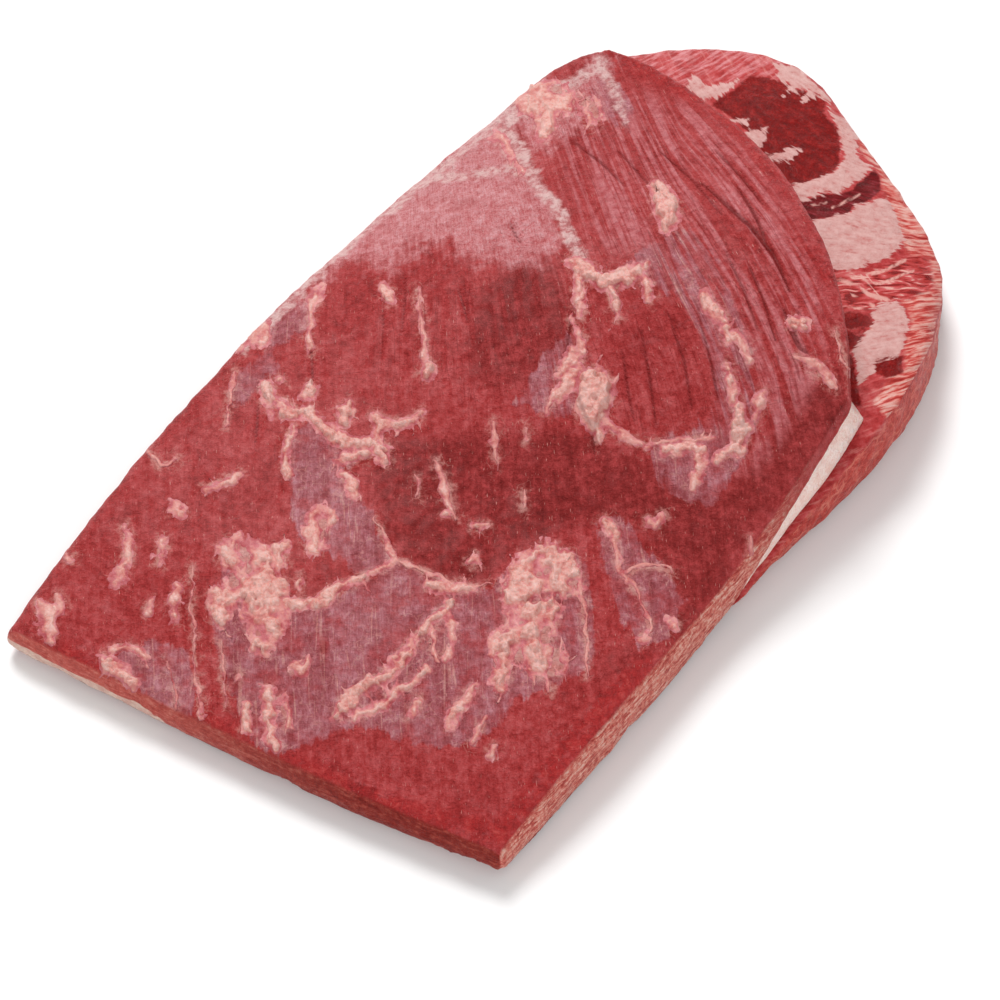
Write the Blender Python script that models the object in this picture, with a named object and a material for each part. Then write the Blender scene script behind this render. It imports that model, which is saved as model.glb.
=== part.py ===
"""Raw beef brisket, whole and untrimmed, lying fat side down.

The thin cut end is towards -Y and the thick end towards +Y. The flat, a broad pad of muscle,
lies on top. A seam of fat parts it from the point, the thicker muscle under the far half, whose
cut face shows as a crescent past the flat's far edge. A thin cap of fat covers the underside.
Each layer is a block cut into cells and then drawn out to its plan and its two surfaces.
Units are metres.
"""

import math

import bmesh
import bpy
from mathutils import Vector, noise
from mathutils.geometry import intersect_point_line

# Plan of the flat, as four sides between four corners. Each runs towards +X or towards +Y.
FLAT_FRONT = ((-0.1350, -0.2710), (-0.0500, -0.2630), (0.0400, -0.2530), (0.1290, -0.2385))
FLAT_RIGHT = (
    (0.1290, -0.2385),
    (0.1330, -0.1600),
    (0.1360, -0.0800),
    (0.1375, -0.0200),
    (0.1350, 0.0480),
)
FLAT_FAR = (
    (-0.1080, 0.2000),
    (-0.0775, 0.1980),
    (-0.0375, 0.1880),
    (0.0060, 0.1700),
    (0.0480, 0.1430),
    (0.0860, 0.1110),
    (0.1150, 0.0780),
    (0.1350, 0.0480),
)
FLAT_LEFT = (
    (-0.1350, -0.2710),
    (-0.1440, -0.1900),
    (-0.1485, -0.1100),
    (-0.1505, -0.0300),
    (-0.1470, 0.0500),
    (-0.1390, 0.1250),
    (-0.1270, 0.1750),
    (-0.1080, 0.2000),
)

# Plan of the point. Its front side is the thin edge of its wedge, between the flat and the cap.
WEDGE_LEFT = (-0.1490, -0.0300)
WEDGE_RIGHT = (0.1355, -0.0540)
POINT_RIGHT = (
    WEDGE_RIGHT,
    (0.1400, -0.0150),
    (0.1455, 0.0250),
    (0.1495, 0.0750),
    (0.1430, 0.1200),
    (0.1320, 0.1510),
)
POINT_FAR = (
    (-0.1120, 0.2270),
    (-0.0830, 0.2515),
    (-0.0480, 0.2670),
    (-0.0130, 0.2670),
    (0.0330, 0.2395),
    (0.0860, 0.2065),
    (0.1170, 0.1790),
    (0.1320, 0.1510),
)
POINT_LEFT = (
    WEDGE_LEFT,
    (-0.1470, 0.0500),
    (-0.1410, 0.1250),
    (-0.1310, 0.1850),
    (-0.1120, 0.2270),
)

# The seam fills the wedge between the two muscles. On the right it is flush with both, and at
# the far side it stops short of the flat's edge, which overhangs it.
SEAM_FRONT = ((-0.1480, -0.0240), (0.1355, -0.0480))
SEAM_RIGHT_LOW = ((0.1355, -0.0480), (0.1385, -0.0100), (0.1415, 0.0250), (0.1400, 0.0570))
SEAM_RIGHT_HIGH = ((0.1355, -0.0480), (0.1365, -0.0150), (0.1365, 0.0200), (0.1345, 0.0500))
SEAM_FAR = (
    (-0.1060, 0.1920),
    (-0.0400, 0.1810),
    (0.0030, 0.1640),
    (0.0440, 0.1370),
    (0.0820, 0.1050),
    (0.1100, 0.0740),
    (0.1400, 0.0570),
)
SEAM_LEFT = (
    (-0.1480, -0.0240),
    (-0.1450, 0.0500),
    (-0.1380, 0.1250),
    (-0.1250, 0.1700),
    (-0.1060, 0.1920),
)

# The cap is flush with the cut end at the left and stays back from every other side.
CAP_FRONT = ((-0.1310, -0.2690), (-0.0500, -0.2580), (0.0300, -0.2440), (0.1180, -0.2260))
CAP_RIGHT = ((0.1180, -0.2260), (0.1240, -0.1000), (0.1300, 0.0300), (0.1220, 0.1450))
CAP_FAR = ((-0.0980, 0.2150), (-0.0150, 0.2540), (0.0750, 0.2000), (0.1220, 0.1450))
CAP_LEFT = ((-0.1310, -0.2690), (-0.1400, -0.1000), (-0.1370, 0.0500), (-0.0980, 0.2150))

# Heights of the layers.
CAP_THICKNESS = 0.0035
GAP = 0.0004  # between pieces that touch
WEDGE_TIP = 0.0015  # thickness of the point at the thin edge of its wedge
WEDGE_LENGTH = 0.140  # from that edge to the point's full height
POINT_HEIGHT = 0.040
POINT_HEIGHT_LEFT = 0.014
POINT_DROP = 0.4  # share of its height that it loses between the flat's far edge and its rim
POINT_DROP_FROM = 0.72  # where along the point, from front to far side, that loss begins
SEAM_TIP = 0.0010
SEAM_INSIDE = 0.0050
SEAM_AT_SIDE = 0.0130
SEAM_WIDENS = (0.0200, 0.1400)  # X between which it grows from the inside to the side thickness
SEAM_GROWTH = 0.065  # from the wedge's thin edge to the seam's full thickness
FLAT_LIFTS = -0.030  # depth at which the flat starts to rise over the wedge

# Height of the flat's top along its right and left edges, in even steps from the cut end to the
# far edge, and how much higher the crown of the top is than a smooth line between the two.
RIGHT_PROFILE = (0.0185, 0.0270, 0.0285, 0.0300, 0.0435, 0.0610, 0.0640, 0.0600, 0.0570)
LEFT_PROFILE = (0.0185, 0.0250, 0.0280, 0.0290, 0.0300, 0.0270, 0.0250, 0.0290, 0.0410)
CROWN_PROFILE = (0.0010, 0.0040, 0.0060, 0.0090, 0.0120, 0.0140, 0.0170, 0.0130, 0.0040)
FLAT_LENGTH = 0.470
HALF_WIDTH = 0.1400
CROWN_FALL = 2.4  # power of the distance from the middle by which the crown falls off
UNEVEN_HEIGHT = 0.0012
UNEVEN_SCALE = 25.0  # waves a metre

# Radius of each layer's top edge at its front, right, far and left sides, and how far the middle
# of its walls bulges. The point's right edge turns from square to round between two shares.
FLAT_ROLLS = (0.003, 0.005, 0.008, 0.012)
FLAT_BULGE = 0.0015
POINT_ROLLS = (0.0, 0.014, 0.014, 0.008)
POINT_BULGE = 0.0020
POINT_TURNS_ROUND = (0.5, 0.8)
SEAM_BULGE = 0.0005
SQUARE_EDGES = (0.0, 0.0, 0.0, 0.0)

# Relief of the flat's top: its lumps of fat, its shallow hollows, and its deepest furrows. A lump
# or hollow has its place in plan, its radius and its height or depth, and a furrow has its two
# ends, its half width and its depth.
LUMPS = (
    (0.0317, -0.0180, 0.0130, 0.0030),
    (0.0756, -0.1378, 0.0190, 0.0022),
    (0.0007, 0.0419, 0.0200, 0.0020),
    (-0.0019, 0.0950, 0.0130, 0.0018),
    (0.0549, 0.0505, 0.0120, 0.0018),
    (0.0926, 0.0139, 0.0150, 0.0018),
    (-0.0400, -0.2030, 0.0180, 0.0016),
    (-0.0841, -0.1051, 0.0150, 0.0018),
    (-0.0596, -0.0968, 0.0150, 0.0018),
    (0.0320, -0.1860, 0.0150, 0.0016),
    (-0.1103, 0.1426, 0.0150, 0.0014),
)
HOLLOWS = (
    (0.0303, -0.0807, 0.0450, 0.0020),
    (0.0787, -0.0498, 0.0300, 0.0014),
    (-0.0500, 0.0200, 0.0400, 0.0014),
)
FURROWS = (
    ((0.0240, 0.1280), (0.0720, 0.0900), 0.0080, 0.0016),
    ((0.0050, 0.1160), (0.0560, 0.0760), 0.0080, 0.0012),
)

# How many cells each block has along X, Y and Z, and where its first rows lie beside a rim.
FLAT_CELLS = (34, 58, 3)
POINT_CELLS = (24, 24, 3)
SEAM_CELLS = (22, 20, 2)
CAP_CELLS = (12, 18, 1)
RIM_ROWS = (0.0, 0.0080, 0.0220)
MOST_ROLLED = 0.6  # of a layer's thickness that its rounded edge may take
LEVEL = 0.9999995  # a normal this upright marks cells that lie level and become one face

MEAT_RED = (0.36, 0.045, 0.05)
DARK_RED = (0.24, 0.02, 0.03)
SEAM_WHITE = (0.80, 0.62, 0.52)
CAP_CREAM = (0.78, 0.60, 0.46)


def blend(low, high, value):
    """0 below low, 1 above high, and a smooth step between."""
    share = min(1.0, max(0.0, (value - low) / (high - low)))
    return share * share * (3.0 - 2.0 * share)


def along(points, share):
    """The value at this share of a smooth line through points, which are numbers or tuples."""
    last = len(points) - 1
    place = min(max(share, 0.0), 1.0) * last
    start = min(int(place), last - 1)
    t = place - start
    nearby = [points[min(max(start + k, 0), last)] for k in (-1, 0, 1, 2)]
    if isinstance(nearby[0], tuple):
        nearby = [Vector(point) for point in nearby]
    before, first, second, after = nearby
    return 0.5 * (
        2.0 * first
        + (second - before) * t
        + (2.0 * before - 5.0 * first + 4.0 * second - after) * t**2
        + (3.0 * first - before - 3.0 * second + after) * t**3
    )


def patch_point(sides, u, v):
    """The plan point at (u, v) of the patch that the front, right, far and left sides bound."""
    front, right, far, left = sides
    ruled = (1 - v) * along(front, u) + v * along(far, u)
    ruled += (1 - u) * along(left, v) + u * along(right, v)
    near = (1 - u) * Vector(front[0]) + u * Vector(front[-1])
    away = (1 - u) * Vector(far[0]) + u * Vector(far[-1])
    return ruled - (1 - v) * near - v * away


def graded(share, count):
    """Moves even steps so that the first two rows beside each rim lie close to it."""
    step = round(share * count)
    rows = len(RIM_ROWS)
    if step < rows:
        return RIM_ROWS[step]
    if step > count - rows:
        return 1.0 - RIM_ROWS[count - step]
    inner = (step - rows + 1) / (count - 2 * (rows - 1))
    return RIM_ROWS[-1] + inner * (1.0 - 2.0 * RIM_ROWS[-1])


def rounded_corner(u, v, reach):
    """Draws the corners of the unit square in to a curve, for a short reach from each."""
    from_u = min(u, 1.0 - u)
    from_v = min(v, 1.0 - v)
    a = max(0.0, 1.0 - from_u / reach)
    b = max(0.0, 1.0 - from_v / reach)
    if a == 0.0 or b == 0.0:
        return u, v
    inward = max(a, b) / math.hypot(a, b)
    new_u = reach * (1.0 - a * inward)
    new_v = reach * (1.0 - b * inward)
    return (new_u if u < 0.5 else 1.0 - new_u), (new_v if v < 0.5 else 1.0 - new_v)


def rolled(distance, radius):
    """How far a rounded edge has dropped at this distance in from it."""
    if radius <= 0.0 or distance >= radius:
        return 0.0
    return radius - math.sqrt(radius**2 - (radius - distance) ** 2)


def block(cells):
    """A unit cube with its faces cut into this many cells along X, Y and Z."""
    shape = bmesh.new()
    bmesh.ops.create_cube(shape, size=1.0)
    bmesh.ops.translate(shape, verts=shape.verts, vec=(0.5, 0.5, 0.5))
    for axis, count in enumerate(cells):
        lengthwise = [
            edge
            for edge in shape.edges
            if abs(edge.verts[0].co[axis] - edge.verts[1].co[axis]) > 0.5
        ]
        bmesh.ops.subdivide_edges(
            shape, edges=lengthwise, cuts=count - 1, use_grid_fill=True
        )
    return shape


def edge_drop(u, v, rolls, turns_round):
    """How far the top has dropped at (u, v) towards the layer's rounded edges."""
    front, right, far, left = rolls
    if turns_round:
        right *= blend(*turns_round, v)
    width = 2.0 * HALF_WIDTH
    return max(
        rolled(v * FLAT_LENGTH, front),
        rolled((1.0 - u) * width, right),
        rolled((1.0 - v) * FLAT_LENGTH, far),
        rolled(u * width, left),
    )


def shape_layer(shape, cells, sides, surfaces, rolls, bulge, turns_round):
    """Draws a block out to its low and high plans and between its low and high surfaces."""
    low_sides, high_sides = sides
    floor, ceiling = surfaces
    for vertex in shape.verts:
        w = vertex.co.z
        u = graded(vertex.co.x, cells[0])
        v = graded(vertex.co.y, cells[1])
        on_wall = min(u, v, 1.0 - u, 1.0 - v) < 1e-6 and 0.0 < w < 1.0
        u, v = rounded_corner(u, v, RIM_ROWS[-1])
        plan = patch_point(low_sides, u, v).lerp(patch_point(high_sides, u, v), w)
        low = floor(*plan)
        high = ceiling(*plan, v)
        high -= min(edge_drop(u, v, rolls, turns_round), MOST_ROLLED * (high - low))
        if on_wall:
            keep = 1.0 - 2.0 * RIM_ROWS[-1]
            inside = patch_point(low_sides, 0.5 + keep * (u - 0.5), 0.5 + keep * (v - 0.5))
            plan += (plan - inside).normalized() * bulge * 4.0 * w * (1.0 - w)
        vertex.co = (plan.x, plan.y, low + (high - low) * w)
    bmesh.ops.recalc_face_normals(shape, faces=shape.faces)


def merge_level_cells(shape):
    """Joins the cells that lie level, which need no cuts."""
    level = [
        edge
        for edge in shape.edges
        if all(abs(face.normal.z) > LEVEL for face in edge.link_faces)
    ]
    corners = {vertex for edge in level for vertex in edge.verts}
    bmesh.ops.dissolve_limit(
        shape, angle_limit=math.acos(LEVEL), verts=list(corners), edges=level
    )


def layer(name, cells, sides, surfaces, colour, rolls=SQUARE_EDGES, bulge=0.0, turns_round=None):
    """One layer of the brisket. sides and surfaces are pairs, the low one first."""
    shape = block(cells)
    shape_layer(shape, cells, sides, surfaces, rolls, bulge, turns_round)
    merge_level_cells(shape)
    mesh = bpy.data.meshes.new(name)
    shape.to_mesh(mesh)
    shape.free()
    mesh.shade_smooth()
    mesh.set_sharp_from_angle(angle=math.radians(50))
    mesh.materials.append(colour)
    return bpy.data.objects.new(name, mesh)


def wedge_depth(x, y):
    """How far a plan point lies past the thin edge of the wedge."""
    share = (x - WEDGE_LEFT[0]) / (WEDGE_RIGHT[0] - WEDGE_LEFT[0])
    return y - (WEDGE_LEFT[1] + share * (WEDGE_RIGHT[1] - WEDGE_LEFT[1]))


def under_cap(x, y):
    return 0.0


def cap_top(x, y, v=0.0):
    return CAP_THICKNESS


def above_cap(x, y):
    return CAP_THICKNESS + GAP


def point_top(x, y, v=0.0):
    """Top of the point, level under the flat and falling away past its far edge."""
    share = min(1.0, max(0.0, wedge_depth(x, y) / WEDGE_LENGTH))
    rise = (4.0 * share - share**4) / 3.0
    tip = above_cap(x, y) + WEDGE_TIP
    from_left = min(1.0, max(0.0, (x + HALF_WIDTH) / (1.1 * HALF_WIDTH)))
    full = POINT_HEIGHT - (POINT_HEIGHT - POINT_HEIGHT_LEFT) * (1.0 - from_left) ** 2
    return tip + (full - tip) * (rise - POINT_DROP * blend(POINT_DROP_FROM, 1.0, v))


def seam_top(x, y, v=0.0):
    """Top of the fat between the muscles, thickest at the right side."""
    full = SEAM_INSIDE + (SEAM_AT_SIDE - SEAM_INSIDE) * blend(*SEAM_WIDENS, x)
    share = min(1.0, max(0.0, wedge_depth(x, y) / SEAM_GROWTH))
    grown = SEAM_TIP + (full - SEAM_TIP) * share * (2.0 - share)
    return point_top(x, y) + GAP + grown


def above_point(x, y):
    return point_top(x, y) + GAP


def under_flat(x, y):
    """Underside of the flat: on the cap, and over the seam where the wedge lifts it."""
    lift = blend(FLAT_LIFTS, 0.0, wedge_depth(x, y))
    return above_cap(x, y) + (seam_top(x, y) + GAP - above_cap(x, y)) * lift


def relief(x, y):
    """Height of the flat's lumps over its hollows and furrows at a plan point."""
    here = Vector((x, y))
    height = 0.0
    for sign, mounds in ((1.0, LUMPS), (-1.0, HOLLOWS)):
        for place_x, place_y, radius, size in mounds:
            distance = (here - Vector((place_x, place_y))).length
            height += sign * size * (1.0 - blend(0.0, radius, distance))
    for start, end, half_width, depth in FURROWS:
        nearest, share = intersect_point_line(here, start, end)
        if 0.0 < share < 1.0:
            taper = 4.0 * share * (1.0 - share)
            distance = (here - Vector(nearest[:2])).length
            height -= depth * taper * (1.0 - blend(0.0, half_width, distance))
    return height


def flat_top(x, y, v=0.0):
    """Top of the flat, crowned across its width."""
    front = along(FLAT_FRONT, 0.5 + 0.5 * x / HALF_WIDTH).y
    share = (y - front) / FLAT_LENGTH
    across = min(1.0, abs(x) / HALF_WIDTH)
    from_right = min(1.0, max(0.0, 0.5 - 0.5 * x / HALF_WIDTH))
    right_edge = along(RIGHT_PROFILE, share)
    edge = right_edge + (along(LEFT_PROFILE, share) - right_edge) * from_right**2
    crown = along(CROWN_PROFILE, share) * (1.0 - across**CROWN_FALL)
    uneven = UNEVEN_HEIGHT * noise.noise(Vector((x, y, 0.0)) * UNEVEN_SCALE)
    return edge + crown + uneven + relief(x, y)


def material(name, colour, roughness):
    made = bpy.data.materials.new(name)
    made.use_nodes = True
    shader = made.node_tree.nodes["Principled BSDF"]
    shader.inputs["Base Color"].default_value = (*colour, 1.0)
    shader.inputs["Roughness"].default_value = roughness
    return made


def flat_muscle():
    """The broad pad of lean meat on top."""
    sides = (FLAT_FRONT, FLAT_RIGHT, FLAT_FAR, FLAT_LEFT)
    return layer(
        "flat_muscle",
        FLAT_CELLS,
        (sides, sides),
        (under_flat, flat_top),
        material("lean_meat", MEAT_RED, roughness=0.35),
        FLAT_ROLLS,
        FLAT_BULGE,
    )


def seam_fat():
    """The fat between the two muscles, which shows as a strip along the right side."""
    low_sides = (SEAM_FRONT, SEAM_RIGHT_LOW, SEAM_FAR, SEAM_LEFT)
    far_high = (*SEAM_FAR[:-1], SEAM_RIGHT_HIGH[-1])
    high_sides = (SEAM_FRONT, SEAM_RIGHT_HIGH, far_high, SEAM_LEFT)
    return layer(
        "seam_fat",
        SEAM_CELLS,
        (low_sides, high_sides),
        (above_point, seam_top),
        material("seam_fat", SEAM_WHITE, roughness=0.4),
        bulge=SEAM_BULGE,
    )


def point_muscle():
    """The marbled muscle below, with its crescent past the flat's far edge."""
    sides = ((WEDGE_LEFT, WEDGE_RIGHT), POINT_RIGHT, POINT_FAR, POINT_LEFT)
    return layer(
        "point_muscle",
        POINT_CELLS,
        (sides, sides),
        (above_cap, point_top),
        material("marbled_meat", DARK_RED, roughness=0.35),
        POINT_ROLLS,
        POINT_BULGE,
        POINT_TURNS_ROUND,
    )


def fat_cap():
    """The thin sheet of fat on the underside."""
    sides = (CAP_FRONT, CAP_RIGHT, CAP_FAR, CAP_LEFT)
    return layer(
        "fat_cap",
        CAP_CELLS,
        (sides, sides),
        (under_cap, cap_top),
        material("fat_cap", CAP_CREAM, roughness=0.45),
    )


def centre(pieces):
    """Moves the meshes so that the origin is under the middle of the whole, on the floor."""
    points = [vertex.co for piece in pieces for vertex in piece.data.vertices]
    low = [min(point[axis] for point in points) for axis in range(3)]
    high = [max(point[axis] for point in points) for axis in range(3)]
    shift = Vector((-(low[0] + high[0]) / 2, -(low[1] + high[1]) / 2, -low[2]))
    for piece in pieces:
        for vertex in piece.data.vertices:
            vertex.co += shift
        piece.data.update()


def main():
    for leftover in list(bpy.data.objects):
        bpy.data.objects.remove(leftover)
    brisket = bpy.data.collections.new("raw_beef_brisket")
    bpy.context.scene.collection.children.link(brisket)
    pieces = [flat_muscle(), seam_fat(), point_muscle(), fat_cap()]
    centre(pieces)
    for piece in pieces:
        brisket.objects.link(piece)


main()
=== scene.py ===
"""A whole raw beef brisket, lying fat side down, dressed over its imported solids.

The flat muscle, the point muscle under it, the seam of fat between them and the fat cap each get a finely
divided copy of their solid, with grain, furrows and marbling. Loose fat lies on the flat's top as its own pieces.
Places on the meat are given as pixels of the photograph, and are carried onto the solids along the line of sight.
From the camera the flat's front cut hides the fat cap, so the cap's edge there is a colour on the flat's cut face.
"""

import math
import random
from itertools import product
from types import SimpleNamespace

import bmesh
import bpy
import numpy as np
from mathutils import Matrix, Vector
from mathutils.bvhtree import BVHTree


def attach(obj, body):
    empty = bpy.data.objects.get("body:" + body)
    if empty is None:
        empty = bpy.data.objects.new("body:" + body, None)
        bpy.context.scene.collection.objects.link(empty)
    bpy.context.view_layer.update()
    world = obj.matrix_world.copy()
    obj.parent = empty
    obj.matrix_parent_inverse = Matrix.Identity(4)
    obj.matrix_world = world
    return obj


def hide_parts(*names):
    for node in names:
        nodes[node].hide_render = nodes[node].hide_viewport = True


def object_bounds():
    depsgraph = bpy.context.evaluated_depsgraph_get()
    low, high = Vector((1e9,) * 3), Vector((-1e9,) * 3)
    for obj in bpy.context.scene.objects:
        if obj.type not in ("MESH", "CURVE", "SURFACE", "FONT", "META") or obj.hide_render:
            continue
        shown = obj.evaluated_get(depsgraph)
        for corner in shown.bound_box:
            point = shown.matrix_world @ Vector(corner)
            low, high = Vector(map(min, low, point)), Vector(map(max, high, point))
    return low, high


# The camera's place: turned and lifted in degrees, lens and sensor in mm, distance and target in metres.
VIEW_TURN = 35.0
VIEW_LIFT = 52.0
VIEW_LENS = 100.0
SENSOR_WIDTH = 36.0
VIEW_DISTANCE = 1.38
VIEW_TARGET = (0.0055, -0.062, 0.0)
# The photograph, in pixels.
PICTURE_SIZE = 1000.0
PICTURE_MIDDLE = PICTURE_SIZE / 2
PICTURE_ZOOM = VIEW_LENS / SENSOR_WIDTH * PICTURE_SIZE
PIXELS_PER_MM = 2.0
# How far inside or outside a region is still told apart, in mm.
REACH = 16.0

# Loose fat: the photograph's rows that hold it, the grid's step and tile in pixels, and its thickness in metres.
LOOSE_FAT_ROWS = (40, 780)
GRID_STEP = 2
GRID_TILE = 20
FAT_THICKNESS = 0.0007
# How far under the meat's surface a place may lie and still count, in mm: for a tile, and for a grid point.
TILE_DEPTH = -0.5
POINT_DEPTH = -0.45
FRAY_SEED = 5

# Colours, as linear red, green and blue.
DEEP_RED = (0.125, 0.0030, 0.0030)
DARK_RED = (0.245, 0.0105, 0.0105)
LEAN_RED = (0.410, 0.0350, 0.0360)
LIGHT_RED = (0.545, 0.0900, 0.0930)
BLOOD_RED = (0.4100, 0.0150, 0.0160)
CUT_PINK = (0.640, 0.1850, 0.1350)
SILVERSKIN = (0.4100, 0.1080, 0.1280)
SILVERSKIN_PALE = (0.5700, 0.2350, 0.2700)
PALE_PINK = (0.680, 0.2950, 0.3150)
FAT_CREAM = (0.700, 0.3650, 0.3200)
FAT_WHITE = (0.750, 0.4600, 0.4200)
FAT_PINK = (0.620, 0.2150, 0.1900)
# Painted shade for the creases of the fat: a darker orange.
FAT_ORANGE_CREASE_SHADE = (0.640, 0.1700, 0.1000)
SEAM_PINK = (0.860, 0.5800, 0.5100)
SEAM_CREAM = (0.920, 0.7100, 0.6500)
SEAM_WHITE = (0.950, 0.7900, 0.7400)

# Regions of the flat's top, as outlines in pixels of the photograph.
SILVERSKIN_FIELDS = (
    # the broad field behind the front cut
    ((214, 600), (226, 560), (246, 548), (270, 556), (287, 602), (319, 606), (350, 588), (376, 574), (396, 562),
     (430, 576), (462, 588), (490, 588), (506, 572), (526, 556), (556, 545), (582, 556), (592, 596), (596, 640),
     (590, 668), (560, 684), (528, 694), (510, 706), (499, 726), (469, 746), (437, 746), (399, 737), (360, 727),
     (338, 729), (319, 740), (290, 753), (266, 752), (250, 738), (236, 716), (226, 684), (219, 650)),
    # below the lacy ridge
    ((290, 430), (306, 422), (322, 430), (344, 447), (362, 456), (344, 472), (352, 496), (374, 512), (379, 532),
     (394, 558), (376, 573), (354, 578), (346, 560), (322, 552), (300, 538), (290, 515), (292, 490), (286, 464)),
    # the upper left, against the rim
    ((262, 330), (272, 310), (290, 302), (311, 303), (308, 330), (284, 344), (272, 352), (280, 368), (262, 386),
     (234, 412), (228, 396), (238, 372), (264, 352)),
    # the long band between the furrows on the right
    ((628, 262), (652, 244), (668, 232), (690, 228), (716, 262), (738, 312), (752, 362), (758, 404), (748, 448),
     (726, 488), (706, 508), (684, 500), (662, 486), (650, 452), (662, 436), (694, 432), (714, 404), (712, 366),
     (700, 330), (682, 300), (652, 284)),
    # the veil left of the knob of fat
    ((514, 404), (536, 372), (556, 346), (574, 326), (588, 340), (592, 366), (578, 396), (566, 418), (540, 412)),
    # under the pale bits right of the middle
    ((596, 524), (622, 516), (640, 540), (664, 566), (684, 600), (668, 640), (640, 646), (622, 616), (606, 572)),
    # the far left corner
    ((588, 84), (600, 70), (620, 90), (634, 108), (622, 126), (604, 120), (590, 110)),
    # the near left corner
    ((150, 640), (184, 652), (196, 690), (186, 720), (166, 706), (140, 690), (118, 672), (112, 654)),
)
PALE_AND_SHEEN_FIELDS = (
    # the broad pale zone at the upper left: pale pink meat, lightened further with painted sheen
    ((296, 306), (318, 278), (352, 258), (376, 266), (402, 258), (438, 248), (474, 250), (504, 264), (548, 262),
     (566, 256), (556, 222), (548, 192), (532, 160), (506, 122), (480, 100), (420, 130), (380, 190), (330, 240),
     (280, 290)),
    ((498, 122), (524, 96), (556, 86), (574, 104), (596, 118), (580, 130), (556, 138), (536, 150), (516, 146)),
    ((560, 96), (576, 76), (600, 58), (614, 66), (604, 84), (594, 104), (580, 114)),
)
# Ribbons of thin white fat along the far left rim and down from it, with their widths.
RIBBONS = (
    ((498, 120, 12), (512, 140, 20), (524, 164, 18), (540, 188, 11), (556, 206, 9), (566, 228, 9), (575, 248, 12),
     (584, 266, 16)),
    ((604, 62, 8), (572, 84, 12), (534, 104, 12), (500, 124, 14), (466, 150, 9), (420, 184, 6), (380, 216, 7),
     (350, 244, 5), (318, 272, 6), (290, 302, 7), (262, 330, 9), (240, 350, 8)),
    ((436, 178, 5), (462, 176, 8), (492, 172, 9), (520, 170, 10)),
    ((600, 66, 12), (612, 84, 10), (620, 104, 7), (626, 122, 5)),
)
DARK_FIELDS = (
    ((660, 470), (720, 500), (770, 440), (800, 380), (850, 400), (840, 440), (780, 500), (740, 560), (700, 620),
     (650, 660), (600, 700), (600, 660), (640, 640), (680, 600), (650, 540)),
    ((372, 470), (400, 440), (470, 432), (560, 430), (610, 446), (660, 470), (682, 500), (660, 530), (600, 520),
     (560, 530), (520, 548), (488, 580), (440, 578), (404, 556), (382, 528)),
    ((486, 290), (516, 264), (552, 268), (572, 300), (566, 340), (540, 372), (500, 392), (476, 380), (470, 330)),
)
BRIGHT_EDGES = (
    ((48, 650, 16), (96, 664, 18), (150, 692, 20), (220, 732, 22), (282, 762, 24), (340, 790, 26), (400, 812, 26),
     (456, 826, 24), (504, 832, 22)),
    ((512, 824, 22), (546, 778, 22), (580, 734, 22), (610, 700, 20), (646, 664, 16)),
    ((600, 56, 10), (640, 68, 12), (676, 88, 10), (712, 108, 6), (748, 140, 5), (772, 180, 5), (800, 228, 5),
     (826, 280, 5)),
)
# Small round swellings along the right cut edge.
BEADS = ((599, 704), (592, 714), (586, 723), (573, 733), (566, 742), (557, 752), (548, 771), (541, 783), (532, 797),
         (529, 806), (612, 690), (624, 676))
FURROW_FIELD = ((560, 120), (640, 100), (700, 120), (752, 168), (800, 240), (832, 330), (826, 390), (770, 420),
                (700, 440), (640, 440), (600, 430), (520, 400), (440, 420), (380, 400), (360, 300), (420, 280),
                (520, 270), (566, 240))
STREAKY_FIELDS = (
    ((560, 130), (600, 110), (640, 96), (700, 112), (748, 160), (796, 230), (826, 310), (812, 380), (778, 440),
     (750, 470), (700, 470), (720, 400), (708, 340), (672, 280), (640, 246), (600, 250), (572, 200)),
)
# Deep splits in the top: carved into the surface, and darkened with painted shade.
DEEP_FURROWS = (
    ((702, 182, 3), (730, 206, 4), (752, 226, 5), (772, 250, 5), (790, 290, 3)),
    ((738, 186, 2), (752, 208, 4), (766, 238, 3)),
    ((716, 150, 2), (742, 176, 3), (764, 204, 2)),
    ((660, 150, 2), (690, 176, 3), (722, 214, 2)),
    ((618, 150, 2), (650, 184, 3), (668, 204, 2)),
    ((575, 142, 2), (600, 160, 3), (626, 186, 2)),
    ((748, 262, 2), (764, 300, 3), (776, 340, 2)),
    ((726, 250, 2), (744, 290, 3), (758, 330, 2)),
    ((641, 330, 2), (650, 380, 3), (656, 424, 2)),
    ((668, 312, 2), (684, 360, 3), (692, 410, 2)),
    ((700, 320, 2), (712, 366, 3), (718, 400, 2)),
    ((622, 350, 2), (628, 390, 3), (634, 420, 2)),
    ((572, 310, 2), (566, 350, 3), (560, 384, 2)),
    ((258, 404, 2), (257, 424, 4), (255, 444, 2)),
    ((311, 350, 2), (312, 368, 3), (312, 384, 2)),
    ((458, 288, 2), (463, 304, 3), (467, 320, 2)),
    ((404, 272, 2), (405, 290, 3), (402, 330, 2)),
    ((384, 290, 1), (383, 330, 2), (380, 360, 1)),
    ((510, 222, 2), (514, 232, 3), (520, 242, 2)),
    ((592, 432, 2), (593, 442, 5), (594, 452, 2)),
    ((784, 308, 3), (792, 330, 6), (800, 346, 5), (808, 352, 3)),
)

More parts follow.
